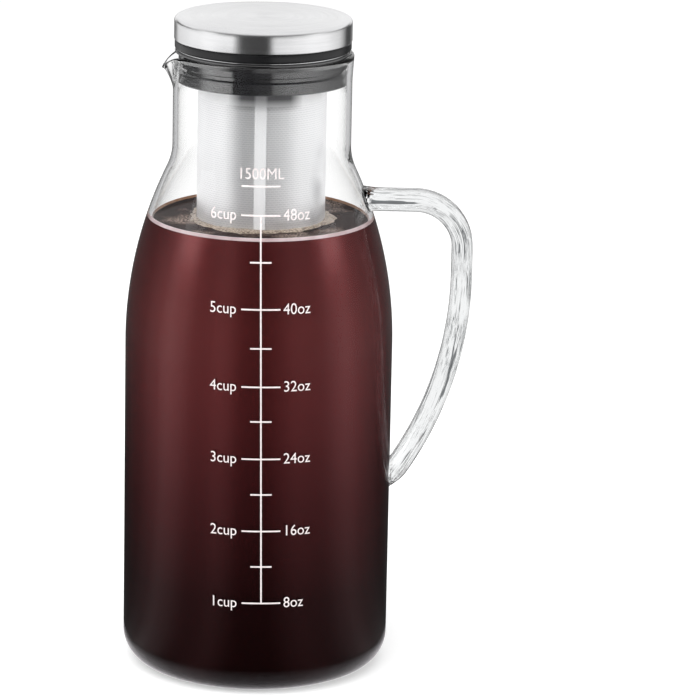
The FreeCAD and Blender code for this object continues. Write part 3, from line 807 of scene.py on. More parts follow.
@dataclass(frozen=True, kw_only=True)
class EtchedScreen(Finish):
    """Thin steel sheet etched with rows of fine slits between plain strips.

    A painted shade stands for the collar's dark reflection on the front, from a little below
    the screen's top up.
    """

    name: str = "etched_filter_screen"
    bottom: float
    top: float
    radius: float
    strip: float = 4.4 * MM
    pitch: float = 0.85 * MM
    slit: float = 1.6 * MM
    steel: Colour = (0.98, 0.98, 0.99)
    grained: Colour = (0.66, 0.66, 0.68)
    hole: Colour = (0.50, 0.50, 0.52)
    # Painted shade: colour of the collar's dark reflection on the front of the screen.
    painted_collar_shade: Colour = (0.045, 0.045, 0.05)
    painted_shade_rise: Span = (-2.5 * MM, 2.6 * MM)
    painted_shade_middle: float = 2.0 * MM
    painted_shade_side: Span = (9.5 * MM, 15.0 * MM)
    painted_shade_depth: float = 0.92
    painted_shade_seam: Span = (1.6 * MM, 2.8 * MM)
    painted_shade_on_seam: float = 0.72
    roughness: float = 0.34

    def wire(self, nodes: Nodes, surface: Node) -> None:
        """Wire the sheet; see Finish."""
        place = nodes.round_place(self.radius)
        way_round, _, height = nodes.split(place)
        beside = nodes.math("PINGPONG", way_round, self.radius * math.pi / 4)
        on_screen = nodes.times(nodes.math("GREATER_THAN", beside, self.strip / 2),
                                nodes.math("GREATER_THAN", height, self.bottom),
                                nodes.math("LESS_THAN", height, self.top))
        row = nodes.math("DIVIDE", height, self.pitch)
        shift = nodes.times(nodes.math("MODULO", nodes.math("FLOOR", row), 2.0), 0.5)
        along = nodes.plus(nodes.math("DIVIDE", way_round, self.slit), shift)
        in_row, in_slit = (nodes.math("ABSOLUTE", nodes.minus(nodes.math("FRACT", count), 0.5))
                           for count in (row, along))
        hole = nodes.times(nodes.spread(in_row, 0.30, 0.18), nodes.spread(in_slit, 0.44, 0.40),
                           on_screen)
        grain = nodes.use(SteelGrain(), Place=nodes.stretch(place, (1.0, 1.0, 0.05)), Scale=700.0)
        colour = nodes.blend(nodes.times(grain["Shade"], 0.15), self.steel, self.grained)
        colour = nodes.blend(nodes.times(hole, 0.22), colour, self.hole)
        # Painted shade: the collar's dark reflection, darkest at the front and paler on the seam
        # strip.
        low, high = self.painted_shade_rise
        sideways = nodes.math("ABSOLUTE", nodes.minus(way_round, self.painted_shade_middle))
        painted_collar_shade = nodes.times(nodes.spread(height, self.top + low, self.top + high),
                           nodes.spread(sideways, *self.painted_shade_side, self.painted_shade_depth, 0.0),
                           nodes.spread(beside, *self.painted_shade_seam, self.painted_shade_on_seam, 1.0))
        nodes.fill(surface, {
            "Base Color": nodes.blend(painted_collar_shade, colour, self.painted_collar_shade),
            "Metallic": nodes.spread(on_screen, 0.0, 1.0, 0.15, 0.8),
            "Roughness": nodes.spread(hole, 0.0, 1.0, self.roughness, self.roughness + 0.25),
            "Normal": nodes.bump(nodes.minus(1.0, hole), 0.22, 0.12 * MM),
        })


@dataclass(frozen=True, kw_only=True)
class SatinBlack(Finish):
    """Black silicone or moulded plastic with a soft sheen."""

    colour: Colour = (0.008, 0.008, 0.009)
    worn: Colour = (0.028, 0.028, 0.030)
    roughness: float = 0.05
    pores: float = 420.0
    relief: float = 0.003
    gloss_ior: float = 1.8

    def wire(self, nodes: Nodes, surface: Node) -> None:
        """Wire the sheen; see Finish."""
        place = nodes.place()
        wear = nodes.use(HandlingWear(), Place=place, Scale=60.0)
        worn = nodes.plus(nodes.times(wear["Smudge"], 0.35), nodes.times(wear["Specks"], 0.3))
        most = self.roughness * 1.4 + 0.03
        nodes.fill(surface, {
            "Base Color": nodes.blend(worn, self.colour, self.worn),
            "Roughness": nodes.spread(wear["Smudge"], 0.0, 1.0, self.roughness, most),
            "Specular IOR Level": 1.0,
            "IOR": self.gloss_ior,
            "Normal": nodes.bump(nodes.noise(place, self.pores, 2.0), self.relief, 0.08 * MM),
        })


@dataclass(frozen=True, kw_only=True)
class BrewedCoffee(Finish):
    """Dark coffee seen through glass, in painted shade: wine red above, nearly black at the foot."""

    name: str = "cold_brewed_coffee"
    foot: float
    level: float
    # Painted shade: these stops darken the coffee towards the foot, and a little under the surface.
    tones_with_painted_shade: tuple[tuple[float, Colour], ...] = (
        (0.00, (0.012, 0.0016, 0.0018)),
        (0.20, (0.022, 0.0026, 0.0032)),
        (0.43, (0.070, 0.0085, 0.0100)),
        (0.66, (0.132, 0.0165, 0.0180)),
        (0.82, (0.150, 0.0195, 0.0200)),
        (1.00, (0.118, 0.0155, 0.0165)),
    )
    glint: Colour = (0.75, 0.45, 0.42)

    def wire(self, nodes: Nodes, surface: Node) -> None:
        """Wire the coffee; see Finish."""
        _, _, height = nodes.split(nodes.place())
        cloud = nodes.noise(nodes.place((1.0, 1.0, 0.25)), 22.0, 2.0)
        # Share of the way up, which picks the painted shade.
        share = nodes.plus(nodes.spread(height, self.foot, self.level),
                           nodes.times(nodes.minus(cloud, 0.5), 0.06))
        nodes.fill(surface, {
            "Base Color": nodes.ramp(share, self.tones_with_painted_shade),
            "Metallic": 0.85,
            "Roughness": 0.26,
            "Specular IOR Level": 0.1,
            "Specular Tint": self.glint,
            "Coat Weight": nodes.spread(share, 0.0, 0.85, 0.10, 0.40),
            "Coat Roughness": 0.16,
        })


@dataclass(frozen=True, kw_only=True)
class CoffeeSurface(Finish):
    """Top of the coffee: a glossy dark skin with drifts of small bubbles."""

    name: str = "coffee_surface"
    dark: Colour = (0.014, 0.005, 0.004)
    froth: Colour = (0.42, 0.32, 0.27)

    def wire(self, nodes: Nodes, surface: Node) -> None:
        """Wire the skin; see Finish."""
        place = nodes.place()
        drift = nodes.noise(place, 42.0, 3.0)
        films = nodes.spread(nodes.cells(place, 900.0, "DISTANCE_TO_EDGE"), 0.14, 0.02)
        froth = nodes.times(nodes.spread(drift, 0.50, 0.62), films)
        nodes.fill(surface, {
            "Base Color": nodes.blend(nodes.times(froth, 0.8), self.dark, self.froth),
            "Roughness": nodes.spread(froth, 0.0, 1.0, 0.12, 0.4),
            "IOR": 1.10,
            "Specular IOR Level": 0.08,
            "Normal": nodes.bump(drift, 0.10, 0.6 * MM),
        })


@dataclass(frozen=True, kw_only=True)
class Foam(Finish):
    """Pale crema: packed small bubbles with darker gaps."""

    name: str = "pale_crema"
    light: Colour = (0.52, 0.42, 0.33)
    dark: Colour = (0.07, 0.045, 0.03)

    def wire(self, nodes: Nodes, surface: Node) -> None:
        """Wire the bubbles; see Finish."""
        place = nodes.place()
        bubbles = nodes.cells(place, 1150.0)
        patch = nodes.noise(place, 160.0, 3.0)
        shade = nodes.plus(nodes.times(bubbles, 0.7), nodes.times(patch, 0.45))
        nodes.fill(surface, {
            "Base Color": nodes.blend(nodes.spread(shade, 0.30, 0.85), self.light, self.dark),
            "Roughness": 0.35,
            "Normal": nodes.bump(nodes.minus(1.0, bubbles), 0.6, 0.4 * MM),
        })


@dataclass(frozen=True, kw_only=True)
class Waterline(Finish):
    """Edge of the coffee on the glass, a painted highlight: milky where it faces the front, amber
    behind.
    """

    name: str = "coffee_edge_painted_highlight"
    # Painted highlight of the meniscus: milky where it faces the front, amber behind.
    milky: Colour = (0.72, 0.60, 0.62)
    patchy: Colour = (0.30, 0.17, 0.17)
    amber: Colour = (0.30, 0.13, 0.05)

    def wire(self, nodes: Nodes, surface: Node) -> None:
        """Wire the edge; see Finish."""
        place = nodes.place()
        _, depth, _ = nodes.split(place)
        patch = nodes.spread(nodes.noise(place, 120.0, 3.0), 0.35, 0.7)
        front = nodes.blend(nodes.times(patch, 0.5), self.milky, self.patchy)
        nodes.fill(surface, {
            "Base Color": nodes.blend(nodes.spread(depth, -12 * MM, 8 * MM), front, self.amber),
            "Roughness": nodes.spread(patch, 0.0, 1.0, 0.2, 0.45),
        })


@dataclass(frozen=True, kw_only=True)
class Enamel(Finish):
    """White enamel of the printed scale, with slightly uneven cover and a faint painted glow."""

    name: str = "white_enamel_print"
    full: Colour = (0.90, 0.84, 0.83)
    thin: Colour = (0.78, 0.66, 0.66)

    def wire(self, nodes: Nodes, surface: Node) -> None:
        """Wire the enamel; see Finish."""
        cover = nodes.spread(nodes.noise(nodes.place(), 900.0, 2.0), 0.42, 0.64)
        nodes.fill(surface, {
            "Base Color": nodes.blend(nodes.times(cover, 0.6), self.full, self.thin),
            "Roughness": nodes.spread(cover, 0.0, 1.0, 0.42, 0.6),
            # Painted light: the print glows faintly in its own colour.
            "Emission Color": self.full,
            "Emission Strength": 0.12,
        })


@dataclass(frozen=True, kw_only=True)
class Grounds(Finish):
    """Wet coffee grounds packed in the filter."""

    name: str = "wet_coffee_grounds"
    light: Colour = (0.060, 0.030, 0.018)
    dark: Colour = (0.012, 0.006, 0.004)

    def wire(self, nodes: Nodes, surface: Node) -> None:
        """Wire the crumbs; see Finish."""
        crumbs = nodes.cells(nodes.place(), 800.0)
        nodes.fill(surface, {
            "Base Color": nodes.blend(crumbs, self.light, self.dark),
            "Roughness": 0.45,
            "Normal": nodes.bump(nodes.minus(1.0, crumbs), 0.8, 0.8 * MM),
        })


@dataclass(frozen=True, kw_only=True)
class StudioFloor(Finish):
    """White floor that keeps the jug's shadow and shows gloss the levels of the studio.

    The spans are distances from the object's axis over which one level gives way to another.
    The zone behind the object is what the edges of the glass show.
    """

    name: str = "white_studio_floor"
    colour: Colour = (0.93, 0.93, 0.93)
    lift: float = 0.38
    brightness: float = 1.1
    pale: Colour = (0.95, 0.92, 0.95)
    pale_foot: Span = (0.058, 0.072)
    dimmed: Span = (0.28, 0.62)
    dimmed_level: float = 0.30
    plain: Span = (0.16, 0.30)
    beyond: Span = (0.50, 0.65)
    behind: Span = (0.86, 0.95)
    behind_cosine: Span = (0.76, 0.84)
    behind_level: Colour = (0.66, 0.66, 0.67)
    step_start: Span = (1.13, 1.165)
    step_end: Span = (1.36, 1.44)

    def wire(self, nodes: Nodes, surface: Node) -> None:
        """Wire the floor; see Finish."""
        rays = Rays(nodes)
        place = nodes.place()
        x, y, _ = nodes.split(place)
        away = nodes.reach(x, y)
        levels = nodes.use(StudioGloss(), Place=place)
        full = nodes.spread(away, *self.dimmed, self.dimmed_level, 1.0)
        near = nodes.blend(full, BLACK, levels["Near"])
        near = nodes.blend(nodes.spread(away, *self.pale_foot), self.pale, near)
        table = nodes.blend(rays.from_glass, near, levels["Inner"])
        behind = nodes.times(nodes.spread(away, *self.behind),
                             nodes.spread(nodes.math("DIVIDE", y, away), *self.behind_cosine))
        table = nodes.blend(nodes.times(rays.from_glass, behind), table, self.behind_level)
        walls = nodes.blend(rays.from_glass, levels["Far"], levels["Inner"])
        beyond = nodes.times(rays.satin, nodes.spread(away, *self.beyond))
        step = nodes.times(nodes.spread(away, *self.step_start),
                           nodes.spread(away, *self.step_end, 1.0, 0.0))
        in_neck = nodes.blend(step, levels["Filter"], levels["Collar"])
        gloss = nodes.blend(rays.from_neck, nodes.blend(beyond, table, walls), in_neck)
        flat = nodes.add("ShaderNodeEmission", {
            "Color": nodes.blend(rays.reflected, WHITE, gloss), "Strength": self.brightness})
        bent = nodes.times(rays.transmitted, nodes.spread(away, *self.plain))
        seen = nodes.math("MAXIMUM", rays.camera, rays.transmitted)
        nodes.fill(surface, {
            "Base Color": self.colour,
            "Roughness": 0.9,
            "Specular IOR Level": 0.0,
            "Emission Color": WHITE,
            "Emission Strength": nodes.times(seen, self.lift),
        })
        plain = nodes.math("MAXIMUM", rays.reflected, bent)
        mixed = nodes.add("ShaderNodeMixShader",
                          {0: plain, 1: surface.outputs[0], 2: flat.outputs[0]})
        nodes.fill(nodes.tree.nodes["Material Output"], {"Surface": mixed.outputs[0]})


def dress(piece: Object, *finishes: Finish) -> None:
    """Give a piece its materials.

    Args:
        piece: The piece; all its faces get the first material.
        *finishes: Its finishes.
    """
    piece.data.materials.clear()
    for finish in finishes:
        piece.data.materials.append(finish.material())


def hand_over(piece: Object, body: Body, slot: Slot, *nodes: str) -> None:
    """Fit a finished piece to the frame.

    Args:
        piece: The piece.
        body: The body that it moves with.
        slot: The material slot that its finish comes from; not used.
        *nodes: The frame's nodes that it stands for.
    """
    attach(piece, body.value)
    if nodes:
        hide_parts(*nodes)
    LOG.info("%s: %d faces on %s", piece.name, len(piece.data.polygons), body.value)


# ---- Glass jug ---------------------------------------------


@dataclass
class Carafe:
    """Blown glass jug with a pulled spout and a glass strap handle.

    The curves give how far the spout stands out and how far the rim flares, as shares of their
    full sizes, by the share of the way up the mouth.
    """

    body_radius: float = field(init=False)
    rim: float = field(init=False)
    wall: float = 1.9 * MM
    floor: float = 3.2 * MM
    corner: float = 11.5 * MM
    foot_ring: float = 37.0 * MM
    hollow: float = 33.0 * MM
    hollow_depth: float = 1.0 * MM
    shoulder_start: float = 130.05 * MM
    shoulder_radius: float = 162.0 * MM
    blend_radius: float = 22.0 * MM
    neck_radius: float = 34.7 * MM
    neck_start: float = 209.0 * MM
    mouth_base: float = 228.0 * MM
    spout_reach: float = 3.7 * MM
    spout_drop: float = 5.6 * MM
    spout_start: float = 27.0 * MM
    spout_nose: float = 9.0 * MM
    spout_hollow: float = 18.0 * MM
    spout_curve: tuple[Point, ...] = (
        (0.0, 0.0), (0.18, 0.04), (0.42, 0.45), (0.67, 1.0), (1.05, 1.75))
    rim_flare: float = 0.7 * MM
    flare_curve: tuple[Point, ...] = (
        (0.0, 0.0), (0.18, 0.0), (0.42, 0.04), (0.67, 0.4), (1.05, 1.0))
    handle_top: float = 187.8 * MM
    handle_reach: float = 78.9 * MM
    handle_bend: float = 18.5 * MM
    handle_upright: float = 11.0 * MM
    handle_sweep: float = 142.0 * MM
    handle_lean: float = 33.53
    handle_sink: float = 2.0 * MM
    strap_width: float = 13.0 * MM
    strap_depth: float = 8.692 * MM
    strap_points: int = 96
    strap_power: tuple[float, float] = (0.8, 0.74)
    strap_flute: float = 0.10
    flute_width: float = 0.33
    groove_width: float = 0.25
    strap_ripple: float = 0.010
    ripple_count: int = 11
    ripple_lag: float = 0.7
    pad_length: float = 5.0 * MM
    pad_root: float = 3.5 * MM
    pad_swell: float = 0.15
    pad_power: float = 1.3
    heel_taper: float = 0.5
    heel_power: float = 1.6
    cord: float = 1.9 * MM
    cord_length: float = 34 * MM
    strap_clear: float = 0.3 * MM
    steps: int = 168

    def __post_init__(self) -> None:
        """Take the main sizes from the frame."""
        self.body_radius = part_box("carafe_side")[1].y - SKIN
        self.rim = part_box("carafe_neck")[1].z

    def touch(self, wall: float = 0.0) -> Point:
        """Find where the shoulder's arc runs into the neck's.

        Args:
            wall: How far inside the outer surface.

        Returns:
            Distance from the axis and height.
        """
        centre = self.body_radius - self.shoulder_radius
        share = (self.shoulder_radius - wall) / (self.shoulder_radius + self.blend_radius)
        return (centre + (self.neck_radius + self.blend_radius - centre) * share,
                self.shoulder_start + (self.neck_start - self.shoulder_start) * share)

    def inside(self, drop: float = 0.0) -> list[Stop]:
        """Go down the inside of the jug, from the mouth to the middle of the base.

        Args:
            drop: How far the wall is moved outwards into the glass.

        Returns:
            The stops.
        """
        wall = self.wall - drop
        floor = self.floor - drop
        side = self.body_radius - wall
        bend = self.corner - wall
        return [
            (self.neck_radius - wall, self.neck_start, 3),
            (*self.touch(wall), self.blend_radius + wall, 12),
            (side, self.shoulder_start, wall - self.shoulder_radius, 22),
            (side, floor + bend, 10),
            (side - bend, floor, -bend, 12),
            (0.0, floor, 3),
        ]

    def arc_radius(self, height: float) -> float:
        """Radius of the side and of the shoulder's arc, which is drawn on past the neck's.

        Args:
            height: The height.

        Returns:
            The radius there.
        """
        rise = max(height - self.shoulder_start, 0.0)
        reach = math.sqrt(self.shoulder_radius ** 2 - rise ** 2)
        return self.body_radius - self.shoulder_radius + reach

    def outside_radius(self, height: float) -> float:
        """Outside radius of the jug at a height.

        Args:
            height: The height, from the side to the neck.

        Returns:
            The radius there.
        """
        if height <= self.touch()[1]:
            return self.arc_radius(height)
        fall = max(self.neck_start - height, 0.0)
        return self.neck_radius + self.blend_radius - math.sqrt(self.blend_radius ** 2 - fall ** 2)

    def spout_edge(self, angle: float, ring: float, reach: float, inset: float) -> float:
        """Distance of the mouth's outline from the axis.

        Args:
            angle: Angle away from the spout's middle, in radians.
            ring: Radius of the plain mouth at this height.
            reach: How far the tip stands out at this height.
            inset: How far the outline lies inside the outer one.

        Returns:
            The distance: nose, hollow and ring are arcs that run into each other.
        """
        nose = self.spout_nose - inset
        hollow = self.spout_hollow + inset
        centre = ring + reach - nose
        if centre <= 0 or reach <= 0:
            return ring
        across = (centre ** 2 + (ring + hollow) ** 2 - (nose + hollow) ** 2) / (2 * centre)
        away = ring + hollow
        if across >= away:
            return ring
        bearing = math.acos(across / away)
        if angle >= bearing:
            return ring
        along = math.sqrt(away ** 2 - across ** 2)
        towards = Vector((across - centre, along)).normalized()
        meet = Vector((centre, 0.0)) + towards * nose
        if angle <= math.atan2(meet.y, meet.x):
            return centre * math.cos(angle) + math.sqrt(nose ** 2 - (centre * math.sin(angle)) ** 2)
        side = away * math.sin(bearing - angle)
        return away * math.cos(bearing - angle) - math.sqrt(max(hollow ** 2 - side ** 2, 0.0))

    def rim_level(self, across: float) -> float:
        """Height of the rim, flat and then dropping to the spout.

        Args:
            across: Distance across the mouth, away from the spout.

        Returns:
            The height there.
        """
        run = -across - self.spout_start
        if run <= 0:
            return self.rim
        length = self.neck_radius + self.spout_reach - self.spout_start
        radius = (length ** 2 + self.spout_drop ** 2) / (2 * self.spout_drop)
        return self.rim - radius * (1 - math.sqrt(max(1 - (run / radius) ** 2, 0.0)))

    def pull_spout(self, jug: Object) -> None:
        """Draw the mouth of the turned jug out into the spout, as the glass worker does.

        Args:
            jug: The turned jug.
        """
        height = self.rim - self.mouth_base
        for corner in jug.data.vertices:
            share = (corner.co.z - self.mouth_base) / height
            if share <= 0:
                continue
            away = math.hypot(corner.co.x, corner.co.y)
            angle = abs(math.atan2(corner.co.y, -corner.co.x))
            inset = self.neck_radius - away
            level = share
            for _ in range(5):  # the edge and its height depend on each other
                flare = curve_through(self.flare_curve, level) * self.rim_flare
                reach = curve_through(self.spout_curve, level) * self.spout_reach
                edge = self.spout_edge(angle, self.neck_radius + flare - inset, reach, inset)
                top = self.rim_level(-edge * math.cos(angle))
                level = share * (top - self.mouth_base) / height
            corner.co.x *= edge / away
            corner.co.y *= edge / away
            corner.co.z = self.mouth_base + level * height

    def wall_piece(self) -> Object:
        """Turn the jug's wall and pull its spout.

        Returns:
            The jug without its handle.
        """
        neck, side, soft = self.neck_radius, self.body_radius, self.wall * 0.5
        jug = lathe("carafe_glass", [
            (0.0, self.hollow_depth),
            (self.hollow, self.hollow_depth),
            (self.foot_ring, 0.0),
            (side - self.corner, 0.0),
            (side, self.corner, self.corner, 12),
            (side, self.shoulder_start, 10),
            (*self.touch(), self.shoulder_radius, 22),
            (neck, self.neck_start, -self.blend_radius, 12),
            (neck, self.mouth_base, 3),
            (neck, self.rim - soft, 14),
            (neck - soft, self.rim, soft, 4),
            (neck - self.wall, self.rim - soft, soft, 4),
            (neck - self.wall, self.mouth_base, 14),
            *self.inside(),
        ], self.steps)
        self.pull_spout(jug)
        return jug

    def strap_outline(self) -> Object:
        """Draw the cross-section of the strap.

        Returns:
            A curve: a flat oval with a shallow flute on each broad face.
        """
        bpy.ops.curve.primitive_bezier_circle_add(radius=1.0)
        section = bpy.context.active_object
        section.name = "strap_section"
        spline = section.data.splines
        spline.remove(spline[0])
        ring = spline.new("POLY")
        ring.points.add(self.strap_points - 1)
        for index, point in enumerate(ring.points):
            turn = FULL_TURN * index / self.strap_points
            x, y = (math.copysign(abs(part) ** power, part)
                    for part, power in zip((math.cos(turn), math.sin(turn)), self.strap_power))
            hollow = 1 - self.strap_flute * math.exp(-(x / self.flute_width) ** 2) * abs(y)
            groove = 1 - self.strap_flute / 2 * math.exp(-(y / self.groove_width) ** 2) * abs(x)
            wave = 1 + self.strap_ripple * math.cos(self.ripple_count * turn + self.ripple_lag)
            point.co = (x * groove * wave * self.strap_width / 2,
                        y * hollow * wave * self.strap_depth / 2, 0.0, 1.0)
        ring.use_cyclic_u = True
        section.data.dimensions = "2D"
        return section

    def handle_path(self) -> list[Point]:
        """Draw the handle's curve, from inside the shoulder round to inside the side.

        Returns:
            The curve's points.
        """
        lean = math.radians(self.handle_lean)
        bend_end = self.handle_top - self.handle_bend
        sweep_start = bend_end - self.handle_upright
        sweep_x = self.handle_reach - self.handle_sweep * (1 - math.cos(lean))
        sweep_z = sweep_start - self.handle_sweep * math.sin(lean)
        tail = self.pad_length + self.pad_root
        return trace([
            (self.neck_radius - self.handle_sink, self.handle_top),
            (self.handle_reach - self.handle_bend, self.handle_top, 16),
            (self.handle_reach, bend_end, -self.handle_bend, 14),
            (self.handle_reach, sweep_start, 4),
            (sweep_x, sweep_z, -self.handle_sweep, 34),
            (sweep_x - tail * math.sin(lean), sweep_z - tail * math.cos(lean), 12),
        ])

    def handle_piece(self) -> Object:
        """Sweep the strap along its curve, swollen where it is fused to the jug.

        Returns:
            The handle.
        """
        section = self.strap_outline()
        path = self.handle_path()
        bpy.ops.curve.primitive_bezier_curve_add()
        handle = bpy.context.active_object
        curve = handle.data
        curve.splines.remove(curve.splines[0])
        strand = curve.splines.new("POLY")
        strand.points.add(len(path) - 1)
        shaped = self.pad_length + self.pad_root
        upper_wall = self.arc_radius(self.handle_top)
        for point, (across, up) in zip(strand.points, path):
            point.co = (across, 0.0, up, 1.0)
            from_root = (across - upper_wall + self.pad_root) / shaped
            from_heel = (Vector((across, up)) - Vector(path[-1])).length / shaped
            if up > self.handle_top - self.handle_bend:
                point.radius = 1 + self.pad_swell * (1 - ease(from_root)) ** self.pad_power
            else:
                point.radius = 1 - self.heel_taper * (1 - min(from_heel, 1.0)) ** self.heel_power
        curve.dimensions = "3D"
        curve.twist_mode = "MINIMUM"
        curve.bevel_mode = "OBJECT"
        curve.bevel_object = section
        curve.use_fill_caps = True
        make_active(handle)
        bpy.ops.object.convert(target="MESH")
        bpy.data.objects.remove(section)
        name_piece(handle, "handle_strap")
        settle(handle)
        clean_mesh(handle)
        return handle

    def mark_strap(self, jug: Object) -> None:
        """Store where each corner of the strap lies along and across it, for its streaks.

        Args:
            jug: The finished jug.
        """
        path = [Vector(point) for point in self.handle_path()]
        run = [0.0]
        for start, end in zip(path, path[1:]):
            run.append(run[-1] + (end - start).length)
        jug.data.attributes.new("drawn", "FLOAT_VECTOR", "POINT")
        jug.data.attributes.new("strap", "FLOAT", "POINT")
        drawn = jug.data.attributes["drawn"].data
        strap = jug.data.attributes["strap"].data
        for corner in jug.data.vertices:
            across, depth, up = corner.co
            off_strap = abs(depth) > self.strap_width * 0.6
            if off_strap or across < self.neck_radius or up > self.neck_start:
                continue
            spot = Vector((across, up))
            near = min(range(len(path)), key=lambda index: (spot - path[index]).length_squared)
            ahead = (path[min(near + 1, len(path) - 1)] - path[max(near - 1, 0)]).normalized()
            offset = spot - path[near]
            along = run[near] + offset.dot(ahead)
            side = ahead.x * offset.y - ahead.y * offset.x
            drawn[corner.index].vector = (side / self.cord, depth / self.cord,
                                          along / self.cord_length)
            if across > self.arc_radius(up) + self.strap_clear:
                strap[corner.index].value = 1.0

    def make(self) -> None:
        """Build the jug and its handle as one piece of glass."""
        jug = self.wall_piece()
        handle = self.handle_piece()
        middle = self.wall / 2
        inner = trace([(self.neck_radius - middle, self.mouth_base), *self.inside(middle)])
        core = lathe("glass_core", [
            (0.0, self.floor / 2), (self.body_radius - self.corner, self.floor / 2),
            *reversed(inner[:-3]), (0.0, self.mouth_base)], self.steps)
        combine(handle, core, Way.CUT)
        combine(jug, handle, Way.FUSE)
        clean_mesh(jug, gap=2e-6)
        smooth(jug, degrees=40)
        self.mark_strap(jug)
        dress(jug, ClearGlass())
        hand_over(jug, Body.CARAFE, Slot.GLASS, "carafe_base", "carafe_side", "carafe_shoulder",
                  "carafe_neck", "carafe_handle")


# ---- Coffee ------------------------------------------------


@dataclass
class Brew:
    """Coffee in the jug, with the froth where it meets the filter, and a painted highlight
    where it meets the glass.

    Where the surface climbs the glass, its width and its radius are multiples of the climb.  A
    wave of the froth is how often it goes round, its size and its lag.
    """

    jug: Carafe
    level: float = 179.6 * MM
    overlap: float = 0.2 * MM
    climb: float = 1.3 * MM
    climb_width: float = 2.6
    climb_radius: float = 2.8
    filter_radius: float = 25.0 * MM
    froth_gap: float = 0.1 * MM
    froth_sink: float = 0.4 * MM
    froth_width: float = 4.5 * MM
    froth_height: float = 0.9 * MM
    froth_waves: tuple[Triple, ...] = (
        (3, 0.30, 0.8), (7, 0.20, 2.1), (17, 0.12, 0.0), (31, 0.08, 1.0))
    line_height: float = 1.05 * MM
    line_width: float = 1.2 * MM
    line_lip: float = 0.5 * MM
    line_rise: float = 0.1 * MM
    line_sink: float = 0.04 * MM

    def inner_radius(self, height: float) -> float:
        """Inside radius of the shoulder, with the overlap into the glass.

        Args:
            height: The height.

        Returns:
            The radius there.
        """
        jug = self.jug
        rise = height - jug.shoulder_start
        reach = math.sqrt((jug.shoulder_radius - jug.wall) ** 2 - rise ** 2)
        return jug.body_radius - jug.shoulder_radius + reach + self.overlap

    def make_liquid(self) -> None:
        """Fill the jug up to the level, with the surface climbing a little at the glass."""
        jug = self.jug
        wall = jug.wall - self.overlap
        top = self.level + self.climb
        edge = self.inner_radius(top)
        bend = jug.corner - wall
        floor = jug.floor - self.overlap
        side = jug.body_radius - wall
        liquid = lathe("coffee", [
            (0.0, floor),
            (side - bend, floor, 3),
            (side, floor + bend, bend, 12),
            (side, jug.shoulder_start, 12),
            (edge, top, jug.shoulder_radius - wall, 16),
            (edge - self.climb_width * self.climb, self.level, -self.climb_radius * self.climb, 5),
            (self.filter_radius + 2 * MM, self.level, 4),
            (0.0, self.level, 3),
        ], 128)
        dress(liquid, BrewedCoffee(foot=floor, level=self.level), CoffeeSurface())
        for face in liquid.data.polygons:
            if face.normal.z > 0.6 and face.center.z > self.level - self.climb:
                face.material_index = 1
        hand_over(liquid, Body.CARAFE, Slot.COFFEE)

    def make_froth(self) -> None:
        """Lay the uneven ring of crema round the filter."""
        inner = self.filter_radius + self.froth_gap
        low = self.level - self.froth_sink
        froth = lathe("crema_ring", [
            (inner, low), (inner + self.froth_width, low, 4),
            (inner, self.level + self.froth_height, self.froth_width * 1.3, 6)], 160)
        for corner in froth.data.vertices:
            away = math.hypot(corner.co.x, corner.co.y)
            turn = math.atan2(corner.co.y, corner.co.x)
            wave = 0.5 + sum(size * math.sin(count * turn + lag)
                             for count, size, lag in self.froth_waves)
            scale = (inner + (away - inner) * (0.45 + 0.75 * wave)) / away
            corner.co.x *= scale
            corner.co.y *= scale
            if corner.co.z > self.level:
                corner.co.z = self.level + (corner.co.z - self.level) * (0.55 + 0.5 * wave)
        dress(froth, Foam())
        hand_over(froth, Body.CARAFE, Slot.COFFEE)

    def make_waterline(self) -> None:
        """Lay the thin pale line, a painted highlight, where the coffee's edge climbs the glass."""
        top = self.level + self.climb
        low = top - self.line_height
        high = top + self.line_rise
        radius = self.inner_radius(top) + self.line_sink
        line = lathe("coffee_waterline", [
            (radius - self.line_width, low),
            (self.inner_radius(low) + self.line_sink, low, 2),
            (radius, high, 4),
            (radius - self.line_lip, high, 2),
            (radius - self.line_width, low, -2 * self.line_width, 3),
        ], 128)
        dress(line, Waterline())
        hand_over(line, Body.CARAFE, Slot.COFFEE)

    def make(self) -> None:
        """Build the coffee and its froth."""
        self.make_liquid()
        self.make_froth()
        self.make_waterline()


# ---- Printed scale -----------------------------------------


